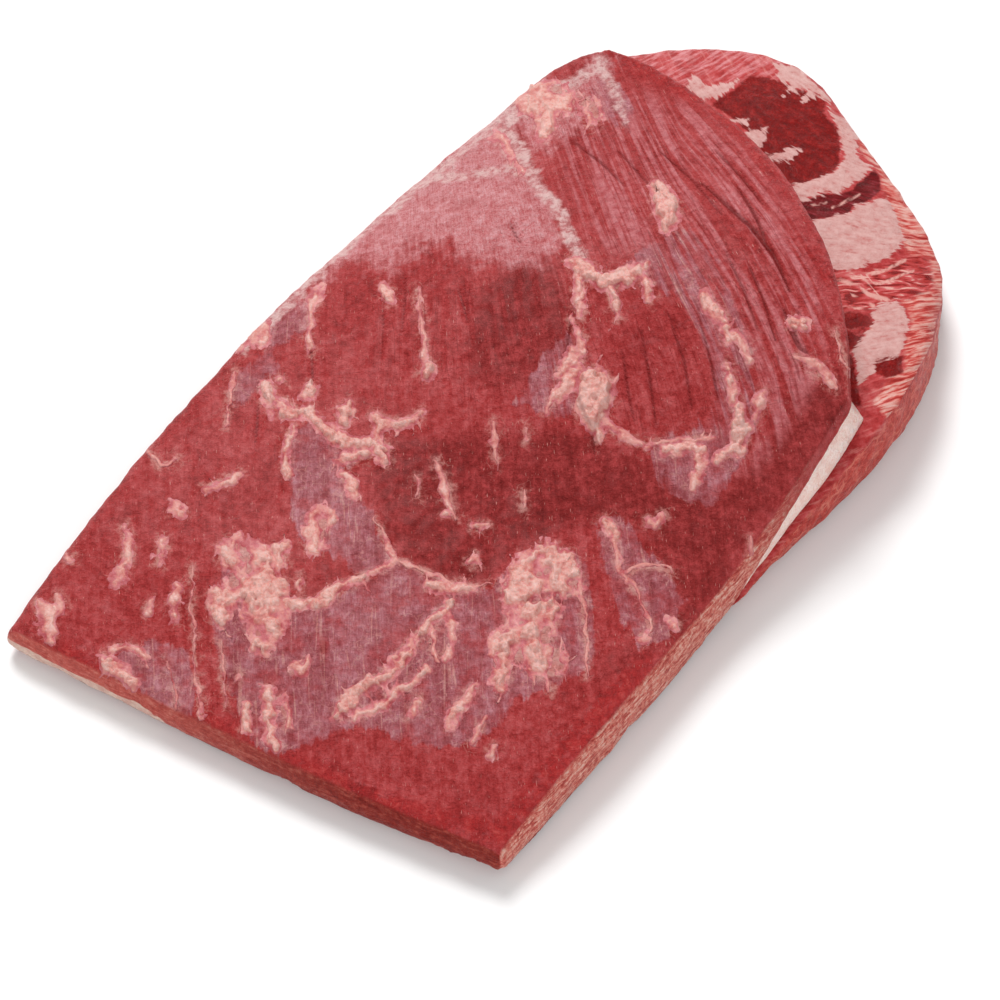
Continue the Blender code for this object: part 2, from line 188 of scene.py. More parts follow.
# Strokes of fat on the flat's top: pixel x, pixel y and width in pixels at each point, then the height in mm.
FAT_RIDGES = (
    # the lacy ridge left of the middle, and its arms
    (((284, 411, 7), (306, 413, 8), (319, 423, 9), (338, 437, 8), (351, 443, 9), (373, 442, 8), (387, 447, 8)), 2.0),
    (((293, 427, 5), (288, 440, 7), (286, 455, 7), (288, 474, 5)), 1.6),
    (((376, 417, 6), (382, 424, 8), (394, 423, 7), (411, 421, 6), (421, 411, 4)), 1.6),
    (((374, 441, 6), (380, 450, 8), (385, 459, 7)), 1.8),
    (((336, 462, 5), (346, 460, 8), (358, 458, 7), (370, 455, 5)), 1.6),
    (((344, 476, 7), (350, 486, 9), (352, 496, 6)), 1.4),
    (((384, 445, 5), (378, 432, 6), (384, 424, 5)), 1.4),
    # small knobs and their roots
    (((266, 390, 12), (270, 397, 14)), 2.8),
    (((276, 398, 5), (288, 404, 4), (300, 411, 4)), 0.8),
    (((280, 380, 5), (281, 380, 5)), 1.4),
    (((270, 413, 5), (270, 414, 5)), 1.2),
    (((306, 396, 8), (311, 390, 9), (312, 384, 5)), 2.4),
    (((342, 420, 8), (346, 412, 10), (350, 403, 5)), 2.6),
    (((425, 372, 10), (428, 369, 11)), 3.0),
    (((385, 288, 6), (388, 295, 8), (391, 301, 5)), 1.6),
    # the pale streak up to the rim
    (((319, 292, 7), (313, 299, 7), (310, 312, 5), (309, 338, 4), (311, 352, 3)), 0.8),
    (((242, 345, 8), (252, 336, 12), (262, 328, 11), (266, 340, 8)), 0.7),
    (((236, 372, 4), (231, 392, 4), (228, 412, 3), (224, 428, 2)), 0.5),
    # the white streak in the middle
    (((436, 460, 3), (439, 468, 6), (444, 484, 8), (449, 498, 6), (456, 518, 2)), 0.64),
    (((493, 424, 2), (495, 440, 5), (496, 452, 4), (499, 469, 1)), 0.62),
    (((525, 426, 3), (526, 440, 1)), 0.5),
    (((522, 488, 1), (523, 500, 4), (524, 508, 2)), 0.5),
    (((475, 528, 5), (485, 526, 4)), 1.6),
    (((446, 513, 5), (447, 515, 5)), 1.8),
    (((418, 476, 2), (419, 498, 2)), 0.4),
    # the upper cluster
    (((571, 262, 8), (580, 266, 14), (592, 276, 14), (604, 284, 12)), 2.2),
    (((602, 282, 12), (614, 282, 16), (626, 278, 14), (640, 270, 9), (648, 264, 5)), 2.4),
    (((580, 276, 7), (579, 292, 7), (580, 306, 6), (582, 318, 3)), 1.4),
    (((610, 290, 8), (613, 302, 8), (618, 318, 4)), 1.4),
    (((642, 272, 6), (648, 284, 6), (652, 300, 3)), 1.2),
    (((572, 318, 3), (578, 334, 5), (584, 350, 5), (574, 362, 6), (566, 372, 5)), 0.9),
    # the big knob and its roots
    (((580, 366, 9), (570, 378, 8), (560, 390, 7), (551, 402, 6), (547, 414, 3)), 1.2),
    (((572, 350, 6), (566, 364, 8), (560, 376, 6)), 0.9),
    (((596, 426, 6), (597, 436, 5), (598, 444, 2)), 1.2),
    (((604, 424, 4), (621, 436, 4), (643, 445, 4), (660, 444, 3), (691, 439, 3), (714, 437, 2)), 0.7),
    (((664, 452, 8), (676, 452, 8), (690, 446, 8), (700, 450, 6)), 1.0),
    (((698, 452, 7), (701, 464, 6), (696, 478, 5), (692, 490, 4)), 0.8),
    # the oval and the chain down the right side
    (((656, 186, 9), (661, 196, 18), (668, 208, 22), (670, 216, 16), (666, 230, 7)), 3.0),
    (((704, 296, 8), (710, 306, 12), (716, 314, 14), (724, 320, 9)), 1.8),
    (((724, 328, 6), (730, 338, 9), (738, 336, 7)), 1.5),
    (((740, 338, 5), (746, 352, 5), (749, 364, 3)), 0.8),
    (((727, 364, 5), (728, 376, 6), (731, 388, 8), (733, 400, 5)), 1.3),
    (((737, 406, 8), (739, 416, 10), (742, 428, 14), (740, 438, 13)), 2.2),
    (((722, 458, 8), (730, 450, 10), (740, 452, 8), (746, 446, 4)), 1.4),
    (((762, 392, 6), (758, 406, 6), (754, 420, 3)), 0.9),
    (((793, 322, 8), (800, 325, 9)), 2.2),
    # the pale lip and rim of the far right corner
    (((796, 357, 3), (808, 361, 5), (818, 368, 8), (828, 378, 8), (836, 387, 4)), 0.62),
    (((836, 330, 2), (846, 362, 3), (854, 392, 3), (861, 414, 3)), 0.5),
    # right of the middle
    (((606, 520, 8), (611, 526, 10), (615, 536, 7)), 1.8),
    (((612, 540, 5), (617, 556, 4), (620, 572, 4), (634, 590, 3), (645, 606, 3), (650, 634, 3)), 0.6),
    (((622, 573, 3), (640, 568, 3), (656, 567, 3), (674, 574, 2)), 0.5),
    (((672, 624, 7), (675, 625, 7)), 0.8),
    (((582, 582, 3), (584, 620, 3), (586, 650, 3), (586, 676, 2)), 0.5),
    (((642, 636, 6), (646, 640, 5)), 0.8),
    (((750, 538, 3), (752, 556, 3)), 0.5),
    (((648, 522, 6), (656, 524, 5), (664, 514, 4)), 0.8),
    # the ridge from the left cluster to the edge of the skin
    (((284, 604, 8), (300, 604, 9), (318, 603, 9), (336, 592, 9), (350, 583, 7), (364, 577, 5)), 1.7),
    (((300, 588, 4), (302, 580, 5)), 1.2),
    (((372, 574, 4), (384, 568, 6), (393, 560, 6), (386, 548, 3)), 0.9),
    (((376, 518, 2), (384, 541, 3), (396, 560, 3), (424, 572, 3), (446, 582, 3), (470, 586, 3), (490, 585, 2)), 0.6),
    (((428, 586, 4), (440, 590, 8), (458, 590, 9), (474, 588, 5)), 1.5),
    (((468, 563, 4), (474, 560, 6), (480, 564, 3)), 1.0),
    # the diagonal double ridge
    (((336, 714, 9), (346, 706, 13), (358, 692, 9), (372, 682, 9), (390, 672, 9), (404, 652, 7), (415, 638, 7),
      (430, 622, 7), (442, 610, 8), (453, 602, 5)), 2.0),
    (((356, 718, 5), (372, 708, 8), (384, 702, 7), (396, 690, 7), (412, 682, 5), (428, 670, 5)), 1.4),
    (((446, 612, 5), (452, 626, 5), (452, 644, 4), (444, 658, 4)), 0.9),
    (((434, 630, 4), (430, 644, 4), (436, 658, 4)), 0.6),
    # ridges in front of the left cluster
    (((266, 690, 10), (270, 704, 9), (268, 722, 7), (270, 738, 10), (276, 746, 12)), 1.8),
    (((246, 704, 5), (247, 716, 6), (248, 731, 6)), 1.4),
    (((280, 698, 4), (286, 712, 5), (288, 726, 3)), 0.9),
    (((296, 666, 8), (302, 672, 9), (306, 660, 4)), 0.9),
    (((410, 716, 6), (417, 704, 7), (421, 698, 4)), 0.9),
    (((448, 728, 4), (456, 712, 7), (466, 698, 7), (474, 688, 4)), 1.0),
    (((470, 744, 3), (478, 734, 5), (484, 720, 3)), 0.8),
    (((494, 746, 4), (490, 754, 5)), 0.8),
    # the front cluster's left arm
    (((498, 684, 9), (504, 672, 11), (506, 656, 8)), 1.8),
    (((498, 632, 7), (496, 648, 6)), 1.2),
    (((548, 682, 5), (550, 690, 4)), 0.6),
    # the left front
    (((103, 658, 8), (110, 666, 12), (122, 674, 12), (132, 682, 7)), 1.5),
    (((112, 650, 4), (124, 646, 6), (138, 650, 5), (146, 660, 4)), 0.9),
    (((124, 526, 4), (127, 544, 7), (127, 562, 7), (117, 580, 9)), 0.8),
    (((164, 540, 5), (160, 556, 7), (159, 566, 4)), 0.8),
    (((174, 508, 8), (180, 512, 9)), 1.2),
    (((178, 588, 5), (174, 602, 8), (176, 618, 5)), 0.9),
    (((150, 600, 4), (147, 612, 5)), 0.7),
    (((64, 552, 5), (70, 560, 8)), 0.6),
    (((38, 604, 5), (48, 614, 13), (46, 630, 12), (52, 640, 6)), 0.7),
    (((58, 596, 6), (60, 610, 8)), 0.5),
    (((205, 488, 4), (219, 484, 6), (232, 478, 6), (240, 474, 4)), 1.2),
    (((147, 446, 3), (152, 456, 4), (160, 466, 3), (178, 458, 3)), 0.5),
    (((191, 566, 2), (191, 600, 2), (194, 650, 2), (203, 718, 2)), 0.4),
    (((220, 640, 2), (222, 672, 2), (226, 706, 2)), 0.4),
    (((168, 660, 2), (172, 684, 2), (176, 708, 2)), 0.4),
    (((240, 675, 5), (236, 680, 3)), 0.8),
    # the vertical line down to the small knob
    (((417, 288, 2), (420, 316, 3), (424, 340, 3), (426, 360, 4)), 0.7),
    # pale fat at the far left
    (((498, 136, 6), (506, 148, 8), (514, 160, 6), (522, 172, 4)), 0.8),
)
# Clumps of fat that fill an area: outline in pixels, then the height in mm.
FAT_CLUMPS = (
    # the big knob
    (((583, 374), (593, 368), (605, 372), (614, 384), (613, 398), (606, 410), (600, 424), (592, 430), (584, 422),
      (577, 408), (576, 390)), 4.6),
    # the big one at the front
    (((502, 634), (508, 614), (524, 602), (552, 598), (558, 612), (554, 634), (548, 652), (532, 660), (512, 660),
      (500, 650)), 3.2),
    (((524, 556), (548, 544), (568, 550), (580, 568), (582, 592), (562, 598), (544, 590), (520, 602), (506, 610),
      (500, 590), (512, 570)), 2.0),
    (((528, 654), (548, 646), (566, 652), (566, 670), (548, 678), (530, 674)), 2.0),
    (((496, 640), (510, 636), (510, 668), (504, 692), (494, 690)), 1.6),
    # the left cluster
    (((232, 576), (250, 568), (270, 572), (286, 580), (288, 596), (266, 602), (252, 598), (236, 604), (222, 596)), 2.4),
    (((216, 546), (238, 538), (260, 546), (276, 560), (264, 574), (240, 568), (222, 566)), 1.5),
    (((246, 596), (274, 596), (288, 606), (286, 622), (276, 634), (268, 654), (254, 650), (250, 626)), 1.9),
    (((210, 594), (228, 588), (238, 600), (230, 612), (222, 624), (212, 618)), 1.6),
    (((270, 546), (284, 544), (286, 564), (276, 570)), 1.4),
    # shards at the far left
    (((514, 98), (530, 86), (548, 82), (566, 90), (578, 100), (570, 112), (556, 118), (549, 140), (540, 134),
      (536, 116), (520, 112)), 1.9),
    (((582, 96), (596, 104), (602, 120), (592, 126), (584, 112)), 1.4),
    # the pale patch above the field
    (((308, 516), (322, 506), (332, 520), (324, 534), (322, 550), (310, 550), (306, 530)), 1.2),
)

# Regions of the point muscle's crescent, as outlines in pixels of the photograph.
CRESCENT_DARK = (
    ((735, 89), (749, 76), (765, 77), (791, 85), (800, 91), (816, 95), (826, 101), (824, 113), (832, 122), (839, 131),
     (840, 149), (839, 166), (830, 175), (816, 180), (800, 184), (784, 185), (774, 179), (765, 166), (758, 145),
     (742, 126), (729, 115), (712, 104), (719, 97)),
    ((834, 311), (871, 314), (874, 327), (838, 327)),
    ((838, 329), (864, 330), (862, 346), (846, 352)),
    ((846, 352), (852, 352), (857, 382), (862, 408), (852, 404)),
    ((874, 357), (890, 352), (903, 357), (903, 373), (885, 378), (873, 372)),
)
CRESCENT_FAT = (
    ((688, 86), (692, 76), (699, 79), (708, 87), (724, 84), (739, 80), (733, 88), (722, 94), (710, 102), (700, 99),
     (693, 91)),
    ((731, 120), (747, 117), (748, 122), (740, 124)),
    ((741, 134), (751, 128), (767, 127), (767, 135), (761, 147), (754, 145), (747, 139)),
    ((756, 152), (774, 154), (791, 147), (802, 148), (795, 153), (789, 163), (779, 160), (764, 163)),
    ((774, 64), (795, 67), (813, 83), (828, 99), (830, 104), (816, 97), (802, 101), (807, 92), (795, 90), (784, 95),
     (790, 85), (781, 80)),
    ((827, 108), (850, 124), (858, 136), (850, 149), (845, 160), (841, 145), (837, 128)),
    ((776, 188), (797, 184), (818, 179), (836, 172), (843, 161), (848, 145), (857, 136), (856, 154), (864, 163),
     (874, 166), (862, 179), (848, 188), (839, 193), (820, 195), (802, 201), (788, 198)),
    ((797, 224), (813, 221), (830, 218), (848, 214), (855, 206), (875, 200), (888, 196), (896, 216), (905, 240),
     (896, 252), (880, 260), (864, 266), (848, 272), (830, 268), (820, 260), (811, 244)),
    ((852, 352), (864, 335), (874, 326), (871, 310), (884, 303), (897, 300), (906, 310), (909, 322), (906, 340),
     (900, 354), (876, 361), (874, 374), (860, 382), (855, 364)),
)
CRESCENT_PURPLE = (((786, 204), (802, 201), (820, 195), (839, 194), (850, 191), (862, 181), (873, 170), (880, 177),
                    (881, 190), (871, 200), (855, 205), (848, 214), (830, 217), (811, 221), (795, 213)),)
CRESCENT_THREADS = (((832, 208, 1.5), (846, 201, 2), (860, 194, 1.5)),
                    ((806, 205, 1), (818, 204, 1.6), (828, 202, 1)),
                    ((838, 272, 2), (862, 277, 3), (884, 270, 2), (906, 259, 2)),
                    ((830, 282, 1.5), (856, 284, 2.5), (880, 284, 2), (914, 270, 2)),
                    ((838, 308, 2), (862, 309, 2.5), (880, 304, 2)), ((838, 327, 1.5), (858, 328, 2), (874, 330, 2)),
                    ((852, 296, 2), (868, 294, 3), (888, 300, 3)))
CRESCENT_RIM = (((842, 116), (862, 130), (884, 164), (910, 205), (936, 250), (946, 290), (944, 330), (930, 362),
                 (914, 392), (896, 424), (874, 404), (888, 380), (904, 372), (906, 344), (912, 322), (904, 302),
                 (890, 294), (914, 262), (898, 232), (886, 200), (880, 172), (862, 150)),)
CRESCENT_STRIPES = (((824, 268), (864, 274), (905, 256), (930, 258), (934, 288), (910, 300), (884, 300), (871, 310),
                     (836, 312)),)
CRESCENT_TOP = (((596, 44), (690, 36), (770, 50), (800, 70), (790, 84), (760, 74), (735, 86), (700, 76), (684, 88),
                 (640, 66)),)


def view_axes():
    """The camera's own right, up and backward directions."""
    turn, lift = math.radians(VIEW_TURN), math.radians(VIEW_LIFT)
    back = Vector((math.sin(turn) * math.cos(lift), -math.cos(turn) * math.cos(lift), math.sin(lift)))
    right = Vector((math.cos(turn), math.sin(turn), 0.0))
    return right, back.cross(right), back


def camera_place():
    return Vector(VIEW_TARGET) + view_axes()[2] * VIEW_DISTANCE


def pixels_of(places):
    """Where points in metres show in the photograph."""
    right, up, back = (np.array(axis) for axis in view_axes())
    away = places - np.array(camera_place())
    depth = -(away @ back)
    return np.stack([PICTURE_MIDDLE + PICTURE_ZOOM * (away @ right) / depth,
                     PICTURE_MIDDLE - PICTURE_ZOOM * (away @ up) / depth], axis=1)


def sight_line(x, y):
    """The direction from the camera through a pixel of the photograph."""
    right, up, back = view_axes()
    return ((x - PICTURE_MIDDLE) / PICTURE_ZOOM * right - (y - PICTURE_MIDDLE) / PICTURE_ZOOM * up - back).normalized()


def blend(value, low, high):
    """0 below low, 1 above high, and a smooth step between."""
    share = np.clip((value - low) / (high - low), 0.0, 1.0)
    return share * share * (3 - 2 * share)


def lumpy(places, size, seed=0):
    """Smooth noise from -1 to 1 with lumps of about that size, the same on each run."""
    cells = places / size + seed * 17.31
    low = np.floor(cells)
    part = cells - low
    part = part * part * (3 - 2 * part)
    low = low.astype(np.int64)
    total = np.zeros(len(places))
    for corner in product((0, 1), repeat=3):
        spot = low + np.array(corner)
        number = (spot[:, 0] * 374761393 + spot[:, 1] * 668265263 + spot[:, 2] * 2147483647 + seed * 97) & 0xFFFFFFFF
        number = ((number ^ (number >> 13)) * 1274126177) & 0xFFFFFFFF
        number = (number ^ (number >> 16)) & 0xFFFF
        share = np.prod(np.where(np.array(corner) == 1, part, 1 - part), axis=1)
        total += share * (number / 32767.5 - 1)
    return total


def in_outline(spots, outline, reach=REACH):
    """How far inside an outline each spot is, in mm: negative outside, and never below -reach."""
    ring = np.array(outline, float)
    found = np.full(len(spots), -reach)
    close = near_line(spots, ring, reach)
    found[close] = near_outline(spots[close], ring, reach)
    return found


def near_line(spots, line, reach):
    """Which spots lie within reach of the box round a line."""
    edge = reach * PIXELS_PER_MM
    low, high = line[:, :2].min(axis=0) - edge, line[:, :2].max(axis=0) + edge
    return np.all((spots > low) & (spots < high), axis=1)


def near_outline(spots, ring, reach):
    """The same as in_outline, for spots near the outline."""
    far = np.full(len(spots), 1e9)
    inside = np.zeros(len(spots), bool)
    for start, end in zip(ring, np.roll(ring, -1, axis=0)):
        run = end - start
        off = spots - start
        share = np.clip(off @ run / (run @ run), 0, 1)
        far = np.minimum(far, ((off - share[:, None] * run) ** 2).sum(axis=1))
        if start[1] != end[1]:
            crosses = (start[1] > spots[:, 1]) != (end[1] > spots[:, 1])
            inside ^= crosses & (spots[:, 0] < start[0] + (spots[:, 1] - start[1]) * run[0] / run[1])
    far = np.sqrt(far) / PIXELS_PER_MM
    return np.clip(np.where(inside, far, -far), -reach, reach)


def in_outlines(spots, outlines, reach=REACH):
    """How far inside the nearest of some outlines each spot is, in mm."""
    return np.max([in_outline(spots, outline, reach) for outline in outlines], axis=0)


def in_strokes(spots, strokes, reach=REACH):
    """How far inside the nearest stroke each spot is, in mm. A stroke has a pixel place and width at each point."""
    best = np.full(len(spots), -reach)
    for stroke in strokes:
        line = np.array(stroke, float)
        for start, end in zip(line[:-1], line[1:]):
            close = near_line(spots, np.stack([start, end]), reach)
            run = end[:2] - start[:2]
            off = spots[close] - start[:2]
            share = np.clip(off @ run / max(run @ run, 1e-6), 0, 1)
            gap = np.sqrt(((off - share[:, None] * run) ** 2).sum(axis=1))
            half = (start[2] + (end[2] - start[2]) * share) / 2
            best[close] = np.maximum(best[close], (half - gap) / PIXELS_PER_MM)
    return best


def grain_places(spots):
    """Coordinates in mm across and along the grain, which leans over towards the upper right."""
    up = 480 - spots[:, 1]
    lean = np.clip((spots[:, 0] - 390) / 290, 0, 1)
    across = spots[:, 0] + lean * (0.10 * up + 0.00115 * np.maximum(0, up) ** 2)
    return np.stack([across / 2, spots[:, 1] / 1.6, np.zeros(len(spots))], axis=1)


def places_in(mesh):
    places = np.empty(len(mesh.vertices) * 3)
    mesh.vertices.foreach_get("co", places)
    return places.reshape(-1, 3)


def normals_in(mesh):
    normals = np.empty(len(mesh.vertices) * 3)
    mesh.vertex_normals.foreach_get("vector", normals)
    return normals.reshape(-1, 3)


def put_places(mesh, places):
    """Moves the vertices, but never past the box of the solids."""
    places = np.clip(places, *np.array(cad_bounds))
    mesh.vertices.foreach_set("co", places.ravel())
    mesh.update()


def pushed_out(places, normals, lift):
    """The places moved along their normals by lift, in mm."""
    return places + normals * (lift / 1000)[:, None]


def keep_value(mesh, name, values):
    mesh.attributes.new(name, "FLOAT", "POINT").data.foreach_set("value", values.astype(np.float32))


def keep_vector(mesh, name, vectors):
    mesh.attributes.new(name, "FLOAT_VECTOR", "POINT").data.foreach_set("vector", vectors.astype(np.float32).ravel())


def add_object(name, data):
    made = bpy.data.objects.new(name, data)
    bpy.context.scene.collection.objects.link(made)
    return made


def fine_copy(node, name, cuts, hidden_below=-0.5):
    """A smooth, finely divided copy of a node. Faces that look down more than hidden_below stay coarse."""
    mesh = node.data.copy()
    work = bmesh.new()
    work.from_mesh(mesh)
    bmesh.ops.remove_doubles(work, verts=work.verts, dist=1e-6)
    bmesh.ops.join_triangles(work, faces=work.faces, angle_face_threshold=3.1, angle_shape_threshold=3.1)
    work.to_mesh(mesh)
    work.free()
    piece = add_object(name, mesh)
    rounding = piece.modifiers.new("rounding", "SUBSURF")
    rounding.levels = rounding.render_levels = 1
    apply_modifiers(piece)
    mesh = piece.data
    work = bmesh.new()
    work.from_mesh(mesh)
    hidden = {face for face in work.faces if face.normal.z < hidden_below}
    edges = [edge for edge in work.edges if not all(face in hidden for face in edge.link_faces)]
    bmesh.ops.subdivide_edges(work, edges=edges, cuts=cuts, use_grid_fill=True)
    rough = [vert for vert in work.verts if len(vert.link_faces) == 4]
    for _ in range(3):
        bmesh.ops.smooth_vert(work, verts=rough, factor=0.5, use_axis_x=True, use_axis_y=True, use_axis_z=True)
    work.to_mesh(mesh)
    work.free()
    mesh.shade_smooth()
    return piece


def apply_modifiers(piece):
    """Bakes a piece's modifiers into its mesh."""
    seen = bpy.context.evaluated_depsgraph_get()
    shaped = bpy.data.meshes.new_from_object(piece.evaluated_get(seen))
    old = piece.data
    piece.modifiers.clear()
    piece.data = shaped
    bpy.data.meshes.remove(old)


class Finish:
    """A material and the few kinds of node that it is made from."""

    def __init__(self, name):
        self.material = bpy.data.materials.new(name)
        self.material.use_nodes = True
        self.nodes = self.material.node_tree.nodes
        self.links = self.material.node_tree.links
        self.shader = self.nodes["Principled BSDF"]
        self.place = self.node("ShaderNodeTexCoord").outputs["Object"]

    def node(self, kind, **settings):
        made = self.nodes.new(kind)
        for key, value in settings.items():
            setattr(made, key, value)
        return made

    def feed(self, socket, value):
        """Links a socket to another, or sets it to a constant."""
        if isinstance(value, bpy.types.NodeSocket):
            self.links.new(value, socket)
        elif isinstance(value, tuple) and socket.type == "RGBA":
            socket.default_value = (*value, 1.0)
        else:
            socket.default_value = value

    def kept(self, name, kind="Fac"):
        """A value or vector that the mesh keeps at its vertices."""
        return self.node("ShaderNodeAttribute", attribute_name=name).outputs[kind]

    def math(self, what, first, second=0.0):
        made = self.node("ShaderNodeMath", operation=what)
        self.feed(made.inputs[0], first)
        self.feed(made.inputs[1], second)
        return made.outputs[0]

    def times(self, first, second):
        return self.math("MULTIPLY", first, second)

    def plus(self, first, second):
        return self.math("ADD", first, second)

    def minus(self, first, second):
        return self.math("SUBTRACT", first, second)

    def most(self, first, *others):
        """The largest of some values."""
        for value in others:
            first = self.math("MAXIMUM", first, value)
        return first

    def texture(self, kind, vector, sizes, **settings):
        """A texture with lumps of the given sizes, in the vector's own unit."""
        sizes = sizes if isinstance(sizes, tuple) else (sizes,) * 3
        stretch = self.node("ShaderNodeMapping")
        self.feed(stretch.inputs["Vector"], vector)
        stretch.inputs["Scale"].default_value = tuple(1.0 / size for size in sizes)
        made = self.node(kind, **settings)
        self.feed(made.inputs["Vector"], stretch.outputs[0])
        made.inputs["Scale"].default_value = 1.0
        return made

    def noise(self, vector, sizes, detail=2.0, roughness=0.5, distortion=0.0, ridged=False):
        """Noise from 0 to 1. Ridged noise is 1 on thin winding lines."""
        made = self.texture("ShaderNodeTexNoise", vector, sizes)
        made.inputs["Detail"].default_value = detail
        made.inputs["Roughness"].default_value = roughness
        made.inputs["Distortion"].default_value = distortion
        if not ridged:
            return made.outputs["Fac"]
        away = self.math("ABSOLUTE", self.minus(made.outputs["Fac"], 0.5))
        return self.minus(1.0, self.times(away, 2.0))

    def swing(self, size, detail, roughness):
        """Noise over the object's own place, from -0.5 to 0.5."""
        return self.minus(self.noise(self.place, size, detail=detail, roughness=roughness), 0.5)

    def warped(self, vector, size, amount):
        """The same coordinates, pushed about by noise of that size, by up to about half of amount."""
        made = self.texture("ShaderNodeTexNoise", vector, size)
        made.inputs["Detail"].default_value = 2.0
        push = self.node("ShaderNodeVectorMath", operation="MULTIPLY_ADD")
        self.feed(push.inputs[0], made.outputs["Color"])
        push.inputs[1].default_value = (amount,) * 3
        self.feed(push.inputs[2], vector)
        return push.outputs[0]

    def cells(self, vector, sizes):
        """How far each place is from the nearest border between cells."""
        return self.texture("ShaderNodeTexVoronoi", vector, sizes, feature="DISTANCE_TO_EDGE").outputs["Distance"]

    def along(self, axis):
        """One of the object coordinates, in metres."""
        made = self.node("ShaderNodeSeparateXYZ")
        self.feed(made.inputs[0], self.place)
        return made.outputs[axis]

    def step(self, value, low, high, out_low=0.0, out_high=1.0):
        """A smooth step from out_low to out_high, where the value goes from low to high."""
        made = self.node("ShaderNodeMapRange", interpolation_type="SMOOTHSTEP")
        for name, number in zip(("Value", "From Min", "From Max", "To Min", "To Max"),
                                (value, low, high, out_low, out_high)):
            self.feed(made.inputs[name], number)
        return made.outputs[0]

    def inside(self, region, ragged, amount, low, high, most=1.0):
        """The share of a kept region, with a ragged edge."""
        return self.step(self.plus(self.kept(region), self.times(ragged, amount)), low, high, 0.0, most)

    def ramp(self, value, *stops):
        made = self.node("ShaderNodeValToRGB")
        bar = made.color_ramp.elements
        while len(bar) < len(stops):
            bar.new(0.5)
        for stop, (place, colour) in zip(bar, stops):
            stop.position = place
            stop.color = (*colour, 1.0)
        self.feed(made.inputs[0], value)
        return made.outputs[0]

    def mix(self, share, first, second):
        made = self.node("ShaderNodeMix", data_type="RGBA")
        for number, value in ((0, share), (6, first), (7, second)):
            self.feed(made.inputs[number], value)
        return made.outputs[2]

    def blend_shares(self, *parts):
        """The sum of values times their shares."""
        total = None
        for value, share in parts:
            scaled = self.times(value, share)
            total = scaled if total is None else self.plus(total, scaled)
        return total

    def relief(self, height, depth):
        made = self.node("ShaderNodeBump")
        made.inputs["Strength"].default_value = 1.0
        made.inputs["Distance"].default_value = depth
        self.feed(made.inputs["Height"], height)
        return made.outputs[0]

    def done(self, colour, roughness, relief, wet=0.03, shine=0.14, soft=0.0):
        """Sets the shader: wet is the coat's weight, shine the specular level, and soft lets light into the fat."""
        for name, value in (("Base Color", colour), ("Roughness", roughness), ("Normal", relief)):
            self.feed(self.shader.inputs[name], value)
        self.shader.inputs["Specular IOR Level"].default_value = shine
        self.shader.inputs["Coat Weight"].default_value = wet
        self.shader.inputs["Coat Roughness"].default_value = 0.22
        if soft:
            self.shader.inputs["Subsurface Weight"].default_value = soft
            self.shader.inputs["Subsurface Radius"].default_value = (1.0, 0.35, 0.25)
            self.shader.inputs["Subsurface Scale"].default_value = 0.0016
        return self.material


def lean_noises(f):
    """The grains, mottles and ragged edges that the layers of the lean beef share."""
    n = SimpleNamespace(grain=f.kept("grain", "Vector"))
    n.fine = f.noise(n.grain, (0.9, 7.0, 1.0), detail=3.0, roughness=0.65, distortion=0.7)
    n.coarse = f.noise(n.grain, (2.8, 34.0, 1.0), detail=2.0, distortion=0.3)
    n.bands = f.noise(n.grain, (5.5, 95.0, 1.0), detail=1.0)
    n.mottle = f.noise(f.place, 0.0044, detail=4.0, roughness=0.68)
    n.specks = f.noise(f.place, 0.0009, detail=2.0, roughness=0.7)
    n.cloudy = f.noise(f.place, 0.013, detail=4.0, roughness=0.65)
    n.streaks = f.blend_shares((n.coarse, 0.5), (n.bands, 0.5))
    n.combed = f.minus(n.streaks, 0.5)
    n.ragged = f.swing(0.0060, detail=5.0, roughness=0.70)
    n.fingers = f.swing(0.019, detail=3.0, roughness=0.6)
    return n


def lean_red(f, n):
    """Red lean, with its darker and brighter zones, pink streaks and a milky bloom."""
    blotch = f.noise(f.place, 0.028, detail=2.0)
    tone = f.blend_shares((n.fine, 0.10), (n.coarse, 0.17), (n.mottle, 0.40), (blotch, 0.18), (n.specks, 0.15))
    red = f.ramp(tone, (0.38, DARK_RED), (0.49, LEAN_RED), (0.60, LIGHT_RED))
    dark_red = f.ramp(tone, (0.36, DEEP_RED), (0.49, (0.225, 0.0140, 0.0135)), (0.59, LEAN_RED), (0.68, LIGHT_RED))
    red = f.mix(f.times(f.kept("dark"), 0.75), red, dark_red)
    bright = f.times(f.kept("bright"), f.step(n.mottle, 0.36, 0.58, 0.2, 0.85))
    blood = f.ramp(n.mottle, (0.36, (0.300, 0.0080, 0.0085)), (0.52, BLOOD_RED), (0.66, (0.520, 0.055, 0.050)))
    red = f.mix(bright, red, blood)
    streaks = f.step(f.blend_shares((n.bands, 0.6), (n.coarse, 0.4)), 0.44, 0.60, 0.0, 0.92)
    pink = f.ramp(n.mottle, (0.36, (0.49, 0.085, 0.095)), (0.62, (0.65, 0.215, 0.230)))
    red = f.mix(f.times(f.kept("streaky"), streaks), red, pink)
    milk = f.noise(f.place, 0.0085, detail=5.0, roughness=0.72, distortion=0.4)
    milk_share = f.times(f.step(milk, 0.50, 0.68, 0.0, 0.24), f.step(f.kept("dark"), 1.0, 0.2, 0.35, 1.0))
    return f.mix(milk_share, red, (0.610, 0.160, 0.170))


